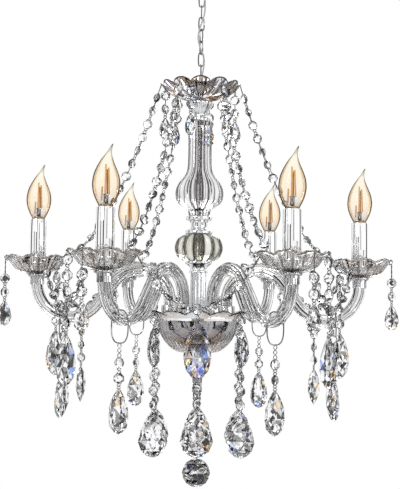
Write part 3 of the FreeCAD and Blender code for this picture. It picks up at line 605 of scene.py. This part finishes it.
def build_bows():
    made = Shape()
    for points in islands("arm_bows"):
        middle, (along, across, _) = axes_of(points)
        tall = half_size(points, middle, along) - BOW_WIRE
        wide = half_size(points, middle, across) - BOW_WIRE
        path = [middle + across * (wide * squared(c, 0.75)) + along * (tall * squared(s, 0.75))
                for c, s in circle(32)]
        made.join(tube(path, BOW_WIRE, 8, closed=True))
    piece("arm_bows_wire", made, "wire", FIXED, ("arm_bows",))


def canopy():
    """Pressed cover, open at the ceiling."""
    wide, deep = reach("ceiling_canopy"), low("ceiling_canopy")
    wall, hole = 1.2 * MM, 5.4 * MM
    floor = deep * 0.99
    outside = smooth([(wide, 0), (wide, 0), (wide, deep * 0.16), (wide * 0.93, deep * 0.36),
                      (wide * 0.72, deep * 0.7), (wide * 0.45, deep * 0.9), (wide * 0.26, floor),
                      (wide * 0.26, floor), (hole, floor)], 4)
    inside = [(max(r - wall, hole), z + wall) for r, z in reversed(outside[:-1])]
    inside[-1] = (inside[-1][0], 0)
    return turned(outside + inside + [outside[0]], 64)


def collar(name, cup_up):
    """Turned screw collar with its cup and wire ring, in the space of the CAD one."""
    wide = reach(name) * 1.03    # round, so a little past the CAD model's flats
    ring, wire, sunk = 6.5 * MM, 1.5 * MM, 1.0 * MM
    way, foot = (1, wide * 0.66) if cup_up else (-1, wide * 0.9)
    start, end = (high(name), low(name)) if cup_up else (low(name), high(name))
    floor = start - way * (2 * ring + wire - sunk)
    lip = floor + way * 6 * MM
    outline = [(0, floor), (wide * 0.83, floor), (wide * 0.85, lip),
               (wide * 0.93, lip + way * 0.3 * MM), (wide, lip - way * 0.8 * MM),
               (wide, floor - way * 2.2 * MM), (wide * 0.8, floor - way * 4.5 * MM),
               (foot, floor - way * 6 * MM), (foot, end), (0, end)]
    centre = Vector((0, 0, floor + way * (ring - sunk)))
    return turned(outline, 40).join(wire_ring(centre, ring, wire, 24, 10))


# the cable's route beside the chain, the same points as the CAD tube's, in metres
CABLE_ROUTE = ((0.0, -0.0069, -0.04245), (0.0020, -0.0069, -0.05895),
               (0.0049, -0.0041, -0.07695), (0.0046, -0.0034, -0.09745),
               (-0.0029, -0.0033, -0.11745), (-0.0051, -0.0043, -0.13195),
               (-0.0012, -0.0078, -0.14745), (0.0050, -0.0048, -0.16095),
               (0.0034, -0.0054, -0.17695), (0.0, -0.0069, -0.1939))
CABLE_RADIUS = 1.15 * MM


def hang_cable():
    curve = bpy.data.curves.new("supply_cable_line", "CURVE")
    curve.dimensions = "3D"
    curve.bevel_depth = CABLE_RADIUS
    curve.bevel_resolution = 3
    curve.resolution_u = 12
    line = curve.splines.new("NURBS")
    line.points.add(len(CABLE_ROUTE) - 1)
    for point, place in zip(line.points, CABLE_ROUTE):
        point.co = (*place, 1)
    line.order_u = 3
    line.use_endpoint_u = True
    curve.materials.append(MATERIALS["cable"])
    made = put_in_scene("supply_cable_flex", curve)
    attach(made, "chain_run")
    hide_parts("supply_cable")


# ---------- the stem
def turn_on_rod(name, node, material, radius, outline, steps=4, sides=64, ribs=0, depth=0.0):
    """Turned glass with the rod's bore, in the height of its CAD node. The outline is
    (share of the height from the top, share of the radius)."""
    top, tall = high(node), high(node) - low(node)
    line = smooth([(share * radius, top - down * tall) for down, share in outline], steps)
    shape = turned(line, sides, ribs, depth, ROD_BORE)
    piece(name, shape, material, FIXED, (node,))


def build_crown():
    wide = reach("crown_dish") * 1.005    # petals reach a little past the CAD model's flats
    bottom, top = low("crown_dish"), high("crown_dish")
    tall = top - bottom
    hub, edge, floor = 14 * MM, 0.4 * MM, 5 * MM
    outside = scaled(((0.42, 0.1), (0.68, 0.34), (0.9, 0.74), (1, 1)), wide, bottom, tall)
    inside = scaled(((0.86, 0.8), (0.64, 0.5), (0.4, 0.3)), wide, bottom, tall)
    dish = petalled(ROD_BORE, bottom, [(hub, bottom)] + outside,
                    [(wide * 0.96, top - edge)] + inside + [(ROD_BORE, bottom + floor)],
                    petals=12, notch=4.5 * MM, dip=6.0 * MM, fold=0.7 * MM)
    piece("crown_petals", dish, "crown", FIXED, ("crown_dish",))


def build_column():
    turn_on_rod("crown_neck_turned", "crown_neck", "chrome", 17.8 * MM,
                ((0.0, 0.7), (0.0, 0.7), (0.1, 0.98), (0.22, 1.0), (0.42, 0.78), (0.62, 0.53),
                 (0.74, 0.53), (0.8, 0.8), (0.8, 0.8), (0.86, 0.87), (0.94, 0.87), (1.0, 0.8)),
                ribs=12, depth=0.05)
    turn_on_rod("column_fluted", "column_glass", "column", reach("column_glass"),
                ((0.0, 0.56), (0.0, 0.56), (0.03, 0.55), (0.076, 0.5), (0.31, 0.49),
                 (0.5, 0.515), (0.58, 0.645), (0.655, 0.878), (0.745, 1.0), (0.845, 0.95),
                 (0.9, 0.72), (0.94, 0.5), (1.0, 0.43)),
                steps=5, sides=200, ribs=20, depth=0.13)
    turn_on_rod("ball_cap_turned", "ball_cap", "chrome", 19.0 * MM,
                ((0.0, 0.76), (0.0, 0.76), (0.06, 0.93), (0.14, 0.96), (0.24, 0.92), (0.34, 0.66),
                 (0.5, 0.6), (0.66, 0.62), (0.76, 0.86), (0.84, 0.99), (0.95, 1.0), (1.0, 0.95)))
    turn_on_rod("ribbed_ball_blown", "ribbed_ball", "ball", reach("ribbed_ball"),
                ((0.0, 0.56), (0.0, 0.56), (0.06, 0.72), (0.2, 0.9), (0.5, 1.0), (0.8, 0.9),
                 (0.94, 0.72), (1.0, 0.56)), steps=5, sides=144, ribs=12, depth=0.15)
    turn_on_rod("ball_cup_turned", "ball_cup", "chrome", 18.8 * MM,
                ((0.0, 0.98), (0.0, 0.98), (0.1, 1.0), (0.2, 0.96), (0.42, 0.72), (0.62, 0.6),
                 (0.76, 0.64), (0.9, 0.7), (1.0, 0.67)))

    radius, bore = 10.9 * MM, 9.0 * MM
    sleeve = turned([(radius, high("stem_sleeve")), (radius, low("stem_sleeve"))],
                    sides=96, ribs=12, depth=0.13, bore=bore)
    piece("stem_sleeve_tube", sleeve, "chrome", FIXED, ("stem_sleeve",))


def build_bowl():
    wide = reach("bowl_liner")
    bottom, top = low("bowl_liner"), high("bowl_liner")
    wall = 1.3 * MM
    outside = smooth(scaled(((1, 0), (0.97, -0.25), (0.87, -0.52), (0.7, -0.75), (0.42, -0.94),
                             (0.12, -1)), wide, top, top - bottom), 4)
    inside = [(max(ROD_BORE, r - wall), min(top, z + wall)) for r, z in reversed(outside)]
    outline = outside + [(ROD_BORE, bottom)] + inside
    piece("bowl_liner_spun", turned(outline + [outline[0]], 72), "smoke", FIXED,
          ("bowl_liner",))

    wide = reach("bowl_glass")
    bottom, top = low("bowl_glass"), high("bowl_glass")
    tall = top - bottom
    edge, floor = 0.4 * MM, 3.9 * MM
    outside = scaled(((0.1, 0), (0.42, 0.04), (0.64, 0.24), (0.77, 0.5), (0.83, 0.76), (0.91, 0.92),
                      (1, 1)), wide, bottom, tall)
    inside = scaled(((0.86, 0.92), (0.79, 0.76), (0.735, 0.5), (0.62, 0.3), (0.4, 0.1)),
                    wide, bottom, tall)
    bowl = petalled(ROD_BORE, bottom, outside,
                    [(wide * 0.97, top - edge)] + inside + [(ROD_BORE, bottom + floor)],
                    petals=12, notch=3.5 * MM, dip=5.0 * MM, fold=0.3 * MM, painted_crease_shade=0.0)
    piece("bowl_petals", bowl, "dish", FIXED, ("bowl_glass",))


def build_finial():
    bottom, top = low("finial"), high("finial")
    ring, wire = 4.5 * MM, 1.1 * MM
    knob = turned(smooth(in_mm(((0, 9.3), (4.5, 9.6), (6.6, 14)), bottom)
                         + in_mm(((9.7, -6), (9.7, -6), (9.7, 0), (9.7, 0), (0, 0)), top), 4), 40)
    knob.join(wire_ring(Vector((0, 0, bottom + (ring + wire))), ring, wire, 20, 8))
    piece("finial_knob", knob, "chrome", FIXED, ("finial",))


# ---------- arms and lamps
def arm_line():
    """Middle line of the first arm: up over an arch, down and round a dip to the lamp."""
    arch, dip = 42.5 * MM, 47.0 * MM
    rise, straight, steps = 60.5 * MM, 6.0 * MM, 22
    crest = Vector((ARM_ROOT + arch, 0, ARM_FOOT + rise - arch))
    hollow = Vector((LAMP_CIRCLE - dip, 0, ARM_TIP - straight))
    span = hollow - crest
    down = math.degrees(math.atan2(span.z, span.x) - math.asin((arch + dip) / span.length))
    over = arc(crest, arch, 180, down + 90, steps)
    under = arc(hollow, dip, down - 90, 0, steps)
    return [Vector((ARM_ROOT, 0, ARM_FOOT))] + over + under + [Vector((LAMP_CIRCLE, 0, ARM_TIP))]


def build_arms():
    arm = tube(arm_line(), radius=8.4 * MM, sides=60, ribs=10, depth=0.17, bore=4.6 * MM)
    for k, turn in enumerate(ARM_TURNS):
        piece(f"arm_{k + 1}_glass", arm.copy().move(turn), "arm", FIXED,
              (f"arm_{k + 1}",))
    tip = dish_seat().move(AT_LAMP)
    foot = arm_socket().move(Matrix.Translation((ARM_ROOT, 0, 0)))
    piece("ferrules_turned", around(tip.join(foot)), "ferrule", FIXED,
          ("arm_ferrules",))


def dish_seat():
    """Metal end of an arm: a flange under the dish, a stud through it, a ribbed skirt."""
    flange = turned(smooth(in_mm(((0, 0), (13.2, 0), (13.2, 0), (13.4, -1.2), (12.8, -2.6),
                                  (10.8, -3.4), (10.8, -3.4), (9.8, -3.6), (9.8, -3.6),
                                  (9.8, -6.6), (9.8, -6.6), (0, -6.6)), DISH_SEAT), 3), 36)
    stud = turned(in_mm(((0, 7.2), (4.6, 7.2), (4.6, 0), (0, 0)), DISH_SEAT), 16)
    skirt = turned(in_mm(((9.6, -6), (9.9, -13), (10.1, -14), (8.6, -14), (8.6, -6), (9.6, -6)),
                         DISH_SEAT), sides=60, ribs=12, depth=0.07)
    return flange.join(stud).join(skirt)


def arm_socket():
    """Metal sleeve round the foot of an arm."""
    return turned(in_mm(((11.6, 0), (11.6, 9.5), (10.4, 11), (9, 11), (9, 0), (11.6, 0)),
                        ARM_FOOT), 32)


def build_dishes():
    start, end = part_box("bobeche_1")
    centre = (start + end) / 2
    wide = (end.x - start.x) / 2 * 1.01    # petals reach a little past the CAD model's flats
    bottom, tall = start.z, end.z - start.z
    hub, bore, floor = 9 * MM, 6.6 * MM, 3.0 * MM
    outside = scaled(((0.4, 0.08), (0.64, 0.28), (0.82, 0.66), (0.92, 0.86), (1, 0.88)),
                     wide, bottom, tall)
    inside = scaled(((0.985, 0.97), (0.9, 1), (0.80, 0.8), (0.62, 0.42), (0.4, 0.2)),
                    wide, bottom, tall)
    dish = petalled(bore, bottom, [(hub, bottom)] + outside, inside + [(bore, bottom + floor)],
                    petals=8, notch=4.0 * MM, dip=6.0 * MM, fold=0.8 * MM, painted_crease_shade=0.9)
    dish.move(Matrix.Translation((centre.x, 0, 0)))
    for k, turn in enumerate(ARM_TURNS):
        piece(f"bobeche_{k + 1}_petals", dish.copy().move(turn), "dish", FIXED,
              (f"bobeche_{k + 1}",))


def build_candles():
    bottom, top = low("candle_sleeves"), high("candle_sleeves")
    sleeve = turned(in_mm(((11.2, 0), (11.5, 0.4)), bottom)
                    + in_mm(((11.5, -0.5), (11.2, 0), (10.6, 0), (10.3, -0.5)), top)
                    + in_mm(((10.3, 0), (11.2, 0)), bottom), 48)
    piece("sleeves_drawn", around(sleeve.move(AT_LAMP)), "sleeve", FIXED,
          ("candle_sleeves",))

    bottom, top = low("candle_cups"), high("candle_cups")
    cup = turned(smooth(in_mm(((5.2, 0), (9, 0), (12.2, 2.2), (12.2, 2.2)), bottom)
                        + in_mm(((12.2, -1.5), (13.2, -0.4), (13.2, 0), (13.2, 0), (11.8, 0),
                                 (11.8, 0)), top)
                        + in_mm(((11.8, 3.9), (5.2, 3.9), (5.2, 3.9), (5.2, 0)), bottom), 2), 40)
    piece("cups_turned", around(cup.move(AT_LAMP)), "chrome", FIXED, ("candle_cups",))


# a bulb from its neck to its tip: share of the height, share of the radius, lean in mm
FLAME = ((0.0, 0.5, 0), (0.03, 0.56, 0), (0.12, 0.76, 0), (0.22, 0.92, 0), (0.34, 1.0, 0),
         (0.46, 0.95, 0), (0.56, 0.82, -0.1), (0.67, 0.60, 0.1), (0.77, 0.38, 1.0),
         (0.85, 0.20, 2.8), (0.92, 0.105, 4.7), (0.97, 0.07, 6.2), (1.0, 0.035, 7.4))
FLAME_RADIUS = 17.2 * MM
FLAME_SIDES = 32

# the wires and filament sticks in a bulb: x, y, z of the foot and of the top, in mm from
# the middle of its neck
STEM_WIRES = ((-2.2, 0, 2, -2.2, 0, 15), (2.4, 0, 2, 2.4, 0, 14), (-0.6, 0, 14, -0.6, 0, 51),
              (-3.4, 0, 14.5, 0, 0, 13), (0, 0, 13, 3.6, 0, 14.5))
STICKS = ((-1.0, -1.2, 15, -0.6, -0.4, 50), (4.0, 0.6, 15, 2.6, 0.3, 47),
          (-5.4, 0.6, 7, -4.8, 0.6, 24), (1.4, 3.0, 14, 0.8, 2.0, 45))


def build_bulbs():
    bottom, top = low("bulb_glasses"), high("bulb_glasses")
    glasses, caps, stems, sticks = Shape(), Shape(), Shape(), Shape()
    for k in range(ARMS):
        place = Matrix.Translation(polar(LAMP_CIRCLE, ARM_STEP * k))
        glasses.join(flame(bottom, top).move(place))
        caps.join(bulb_cap(bottom).move(place))
        stems.join(bulb_stem(bottom).move(place))
        sticks.join(rods(STICKS, bottom, 1.05 * MM, stops=(0, 0.03, 0.97, 1)).move(place))
    piece("bulbs_flame", glasses, "bulb", FIXED, ("bulb_glasses",), 60.0)
    piece("bulb_caps_brass", caps, "brass", FIXED, ("bulb_bases",))
    piece("bulb_stems_wire", stems, "wire", FIXED)
    piece("bulb_filaments", sticks, "filament", FIXED)


def flame(bottom, top):
    """Glass of a bulb, with its tip bent to one side."""
    tall, tip = top - bottom, FLAME[-1]
    rings = [[Vector((0, 0, bottom))]]
    for up, share, lean in smooth(FLAME, 3):
        aside = Vector((lean * MM, 0, 0))
        rings.append([polar(FLAME_RADIUS * share, 360.0 * k / FLAME_SIDES, bottom + tall * up) + aside
                      for k in range(FLAME_SIDES)])
    rings.append([Vector((tip[2] * MM, 0, top + 0.3 * MM))])
    return Shape().skin(rings)


def bulb_cap(bottom):
    """Screw cap, mostly hidden in the lamp holder."""
    return turned(smooth(in_mm(((0, -19), (3.2, -18.6), (6.5, -14), (6.6, -2), (6.6, -2),
                                (6.9, 1.5), (6.7, 2.6), (0, 2.6)), bottom), 3), 28)


def bulb_stem(bottom):
    """Foot inside the bulb, and the wires that stand on it and hold the filaments."""
    foot = turned(smooth(in_mm(((0, 14), (1.2, 13.6), (1.5, 9), (2.6, 4), (5.4, 2.4), (0, 2.4)),
                               bottom), 3), 16)
    return foot.join(rods(STEM_WIRES, bottom, 0.7 * MM, stops=(0, 1)))


def rods(lines, bottom, radius, stops):
    """Straight rods, with rings of points at shares of their length."""
    made = Shape()
    for x0, y0, z0, x1, y1, z1 in lines:
        foot = Vector((x0 * MM, y0 * MM, bottom + z0 * MM))
        top = Vector((x1 * MM, y1 * MM, bottom + z1 * MM))
        made.join(tube([foot.lerp(top, stop) for stop in stops], radius, 8))
    return made


# ---------- crystals
BEAD_RADIUS = 7.0 * MM
BEAD_HALF = 3.9 * MM
BEAD_SIDES = 8
# rings of a bead from one flat face to the other: share of the radius, of half the thickness, turn in
# steps, and the range of painted shades of the facets up to the next ring
BEAD_RINGS = ((0.0, 1.0, 0.0, (0.4, 0.83)), (0.58, 0.94, 0.5, (0.08, 0.84)),
              (0.88, 0.45, 0.0, (0.08, 0.5)), (1.0, 0.08, 0.5, (0.0, 0.1)),
              (1.0, -0.08, 0.5, (0.08, 0.5)), (0.88, -0.45, 0.0, (0.12, 0.91)),
              (0.58, -0.94, 0.5, (0.3, 0.83)), (0.0, -1.0, 0.0, None))

# rings of a drop: share of the height from its tip down, share of the radius
DROP_RINGS = ((0.0, 0.0), (0.04, 0.20), (0.19, 0.58), (0.40, 0.89), (0.64, 1.0),
              (0.84, 0.82), (0.96, 0.38), (1.0, 0.0))
SPEAR_RINGS = ((0.0, 0.0), (0.05, 0.22), (0.22, 0.75), (0.42, 1.0), (0.66, 0.92),
               (0.86, 0.5), (1.0, 0.0))
DROP_SIDES = 10
SPEAR_SLIMNESS = 5.0       # a drop longer than this many half widths is a spear
# the large almond gets more painted colour flashes and fewer dark painted shades
ALMOND_LENGTH = 70 * MM    # one longer than this is the large almond, which flashes

BALL_SIDES = 12
BALL_RINGS = 8

# how many corners tell the CAD model's kinds of crystal solids apart
PIN_CORNERS, BEAD_CORNERS, DROP_CORNERS = 4, 8, 20

PIN_WIRE = 0.6 * MM
PIN_SWING = 2.3 * MM
PIN_LOOP = 3.2 * MM        # half the length of a loop
PIN_OVERLAP = 1.2 * MM     # how far it reaches past the CAD pin into the holes


def chance(*seeds):
    """A steady number from 0 to 1 for some seeds."""
    return math.sin(sum(seed * step for seed, step in zip(seeds, (12.9898, 78.233, 37.719)))
                    + 1.7) * 43758.5453 % 1.0


def bead(points, along):
    """Cut octagon bead in the place of a CAD one."""
    middle, (_, _, facing) = axes_of(points)
    side = facing.cross(along).normalized()
    along = side.cross(facing)
    rings, shape = [], Shape()
    for share, lift, phase, painted_shades in BEAD_RINGS:
        centre = middle + facing * (BEAD_HALF * lift)
        radius = BEAD_RADIUS * share
        corners = circle(BEAD_SIDES, phase) if share else [(1, 0)]
        rings.append([centre + along * (radius * c) + side * (radius * s) for c, s in corners])
        # painted shade of each facet, at random within the ring's range, darkest at the girdle
        if painted_shades:
            least, most = painted_shades
            shape.painted_shades += [least + (most - least) * chance(k, lift, middle.x + middle.z)
                            for k in range(BEAD_SIDES)]
    return shape.skin(rings)


def pear(points):
    """Cut drop in the place of a CAD one, widest in its lower third. A slim one is cut
    as a spear."""
    middle, (along, across, facing) = axes_of(points)
    if along.z > 0:
        along = -along
    heights = (points - np.array(middle)) @ np.array(along)
    top, tall = heights.min(), heights.max() - heights.min()
    wide, deep = half_size(points, middle, across), half_size(points, middle, facing)
    rings = []
    cut = SPEAR_RINGS if tall > SPEAR_SLIMNESS * wide else DROP_RINGS
    for number, (down, share) in enumerate(cut):
        centre = middle + along * (top + tall * down)
        corners = circle(DROP_SIDES, number % 2 / 2) if share else [(0, 0)]
        rings.append([centre + across * (wide * share * c) + facing * (deep * share ** 0.8 * s)
                      for c, s in corners])
    seed = middle.x + middle.z
    if tall > ALMOND_LENGTH:
        return cut_faces(rings, seed, painted_flashes=0.45, painted_shades=(0.26, 0.9))
    return cut_faces(rings, seed)


def cut_ball(points):
    middle = Vector(points.mean(axis=0))
    bottom, top = points[:, 2].min(), points[:, 2].max()
    middle.z = (top + bottom) / 2
    radius = (top - bottom) / 2
    rings = [[middle + UP * radius]]
    for number in range(1, BALL_RINGS):
        angle = math.pi * number / BALL_RINGS
        out, up, phase = radius * math.sin(angle), radius * math.cos(angle), number % 2 / 2
        rings.append([middle + polar(out, (k + phase) * 360.0 / BALL_SIDES, up)
                      for k in range(BALL_SIDES)])
    rings.append([middle - UP * radius])
    return cut_faces(rings, seed=1.0, painted_flashes=0.08, painted_shades=(0.0, 0.5))


def cut_faces(rings, seed, painted_flashes=0.0, painted_shades=(0.1, 0.94)):
    """Skin of three-cornered facets between rings that are turned half a step. Painted flashes is the
    share of facets painted with a coloured flash, and the painted shades give the range of the
    others."""
    shape = Shape()
    marks = [shape.add_ring(ring) for ring in rings]
    for number, (a, b) in enumerate(zip(marks, marks[1:])):
        for a0, a1, b0, b1 in band(a, b):
            halves = ((a0, b0, a1), (a1, b0, b1)) if number % 2 else ((a0, b0, b1), (a0, b1, a1))
            shape.faces += [half for half in halves if len(set(half)) == 3]
    least, most = painted_shades
    # a few facets get a painted colour flash, the others a painted shade between least and most
    shape.painted_shades = [0.9 + 0.1 * chance(k, seed) if chance(k, seed, 3) < painted_flashes
                   else least + (most - least) * chance(k, seed) for k in range(len(shape.faces))]
    return shape


def pin_wire(points):
    """Pin bent to a bow tie between two crystals' holes, in the place of a CAD pin. A
    long one has more loops."""
    middle, (along, across, _) = axes_of(points)
    half = half_size(points, middle, along) + PIN_OVERLAP
    loops = max(2, round(half / PIN_LOOP))
    steps = loops * 4
    path = []
    for way in (1, -1):
        for k in range(steps):
            share = k / steps if way > 0 else 1 - k / steps
            swing = way * math.sin(math.pi * loops * share)
            path.append(middle + along * (half * (2 * share - 1)) + across * (PIN_SWING * swing))
    return tube(path, PIN_WIRE, 6, closed=True)


def build_crystals(node, body):
    """Every bead, drop and pin of a CAD node, cut finer."""
    solids = islands(node)
    pin_middles = np.array([p.mean(axis=0) for p in solids if len(p) == PIN_CORNERS])
    cut, wires = Shape(), Shape()
    for points in solids:
        if len(points) == PIN_CORNERS:
            wires.join(pin_wire(points))
        elif len(points) == BEAD_CORNERS:
            to_pins = pin_middles - points.mean(axis=0)
            nearest = to_pins[np.argmin(np.linalg.norm(to_pins, axis=1))]
            cut.join(bead(points, Vector(nearest).normalized()))
        elif len(points) == DROP_CORNERS:
            cut.join(pear(points))
        else:
            cut.join(cut_ball(points))
    piece(f"{node}_cut", cut, "crystal", body, (node,), 0)
    piece(f"{node}_pins", wires, "wire", body)


def dress_crystals():
    build_crystals("crystal_garlands", FIXED)
    build_crystals("fixed_drops", FIXED)
    for k in range(1, ARMS + 1):
        for kind in ("outer_drop", "arm_drop", "bowl_strand"):
            build_crystals(f"{kind}_{k}", f"{kind}_{k}_body")
    build_crystals("centre_drop", "centre_drop_body")


def dress_plain_nodes():
    """CAD nodes that show as they are, with finer materials."""
    for node, material in (("mounting_bar", "steel"), ("canopy_nipple", "steel"),
                           ("stem_rod", "rod"), ("arm_hub", "chrome"),
                           ("lamp_holders", "plastic")):
        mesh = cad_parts[node].data
        mesh.materials.clear()
        mesh.materials.append(MATERIALS[material])


# ---------- stage and camera
CAMERA_AT = Vector((0.0017, -1.3926, -0.505))
CAMERA_PITCH = 3.37
CAMERA_ROLL = 0.71
FOCAL_PIXELS = 996.8
FRAME_HEIGHT = 489.0

FLOOR_Z = -1.7
FLOOR_RADIUS = 2.4
SQUARE = ((-1, -1), (1, -1), (1, 1), (-1, 1))
BLACK = (0.004, 0.004, 0.005)

# black cards round the lamp: direction, width, foot, height
DARK_CARDS = ((-110, 0.30, -1.3, 1.9), (-74, 0.16, -0.5, 1.0), (174, 0.50, -1.3, 1.9),
              (12, 0.50, -1.3, 1.9), (112, 0.30, -1.4, 2.0), (66, 0.30, -1.4, 2.0),
              (-140, 0.20, -1.3, 1.9), (-36, 0.20, -1.3, 1.9), (-110, 0.9, -2.3, 0.5),
              (-70, 0.9, -2.3, 0.5))
CARD_DISTANCE = 1.5
# black sheets over and under it: name, level, half the width
DARK_SHEETS = (("over", 0.85, 0.7), ("under", -1.6, 0.45))

# soft lamps: name, place, power, width
SOFT_LAMPS = (("key", (-1.3, -1.5, 0.7), 30.0, 1.0), ("fill", (1.6, -1.2, 0.1), 16.0, 1.2),
              ("rim", (0.5, 1.6, 0.5), 14.0, 1.0))
LIT_POINT = Vector((0, 0, -0.42))


def set_stage():
    set_world()
    set_floor()
    for number, (turn, wide, foot, tall) in enumerate(DARK_CARDS):
        start = polar(CARD_DISTANCE, turn, foot)
        across = polar(wide / 2, turn + 90)
        dark_card(f"studio_flag_{number}", [start + across * side + UP * (tall * (up + 1) / 2)
                                            for side, up in SQUARE])
    for name, level, half in DARK_SHEETS:
        dark_card(f"studio_flag_{name}", [Vector((x * half, y * half, level)) for x, y in SQUARE])
    for name, place, power, size in SOFT_LAMPS:
        light = bpy.data.lights.new(f"studio_{name}", "AREA")
        light.energy = power
        light.size = size
        lamp = put_in_scene(f"studio_{name}", light)
        lamp.location = place
        lamp.rotation_euler = (LIT_POINT - Vector(place)).to_track_quat("-Z", "Y").to_euler()


def set_world():
    """Plain light on the object, and white where it is seen."""
    world = bpy.data.worlds.new("studio")
    bpy.context.scene.world = world
    world.use_nodes = True
    nodes, links = world.node_tree.nodes, world.node_tree.links
    plain = nodes["Background"]
    white = nodes.new("ShaderNodeBackground")
    for shader, strength in ((plain, 0.75), (white, 1.0)):
        shader.inputs["Color"].default_value = (1, 1, 1, 1)
        shader.inputs["Strength"].default_value = strength
    links.new(white_where_seen(world, plain.outputs[0], white.outputs[0]),
              nodes["World Output"].inputs["Surface"])


def white_where_seen(material_or_world, plain, seen):
    """Mixes a plain shader with one that camera, glossy and transmitted rays see."""
    nodes, links = material_or_world.node_tree.nodes, material_or_world.node_tree.links
    path = nodes.new("ShaderNodeLightPath")
    is_seen = path.outputs["Is Camera Ray"]
    for ray in ("Is Glossy Ray", "Is Transmission Ray"):
        either = nodes.new("ShaderNodeMath")
        either.operation = "MAXIMUM"
        links.new(is_seen, either.inputs[0])
        links.new(path.outputs[ray], either.inputs[1])
        is_seen = either.outputs[0]
    mix = nodes.new("ShaderNodeMixShader")
    links.new(is_seen, mix.inputs["Fac"])
    links.new(plain, mix.inputs[1])
    links.new(seen, mix.inputs[2])
    return mix.outputs[0]


def set_floor():
    surface = Surface("studio_floor", (0.93, 0.93, 0.93), Roughness=0.9)
    white = surface.node("ShaderNodeEmission", Strength=1.0, Color=(1, 1, 1, 1))
    surface.links.new(white_where_seen(surface.material, surface.shader.outputs[0],
                                       white.outputs[0]),
                      surface.nodes["Material Output"].inputs["Surface"])
    rim = [polar(FLOOR_RADIUS, 6 * k, FLOOR_Z) for k in range(60)]
    stage_piece("studio_floor", Shape().skin([[Vector((0, 0, FLOOR_Z))], rim]), surface)


def dark_card(name, corners):
    """Black studio card, seen in reflections and in glass alone, where it draws dark lines."""
    shape = Shape()
    shape.faces = [tuple(shape.add_ring(corners))]
    card = stage_piece(name, shape, Surface(name, BLACK, Roughness=0.9))
    card.visible_camera = False
    card.visible_shadow = False
    card.visible_diffuse = False


def stage_piece(name, shape, surface):
    made = put_in_scene(name, mesh_of(name, shape, surface.material))
    return made


def set_camera():
    camera = bpy.data.cameras.new("studio_camera")
    camera.sensor_fit = "VERTICAL"
    camera.sensor_height = 36.0
    camera.lens = FOCAL_PIXELS / FRAME_HEIGHT * camera.sensor_height
    camera.clip_start = 0.01
    made = put_in_scene("studio_camera", camera)
    turn = (Matrix.Rotation(math.radians(90 + CAMERA_PITCH), 4, "X")
            @ Matrix.Rotation(math.radians(CAMERA_ROLL), 4, "Z"))
    made.matrix_world = Matrix.Translation(CAMERA_AT) @ turn
    bpy.context.scene.camera = made
    bpy.context.scene.view_settings.view_transform = "Standard"


# ---------- put together
set_camera()
set_stage()
hang_cable()
hang_fittings()
build_crown()
build_column()
build_bowl()
build_finial()
build_arms()
build_dishes()
build_candles()
build_bulbs()
build_bows()
dress_crystals()
dress_plain_nodes()
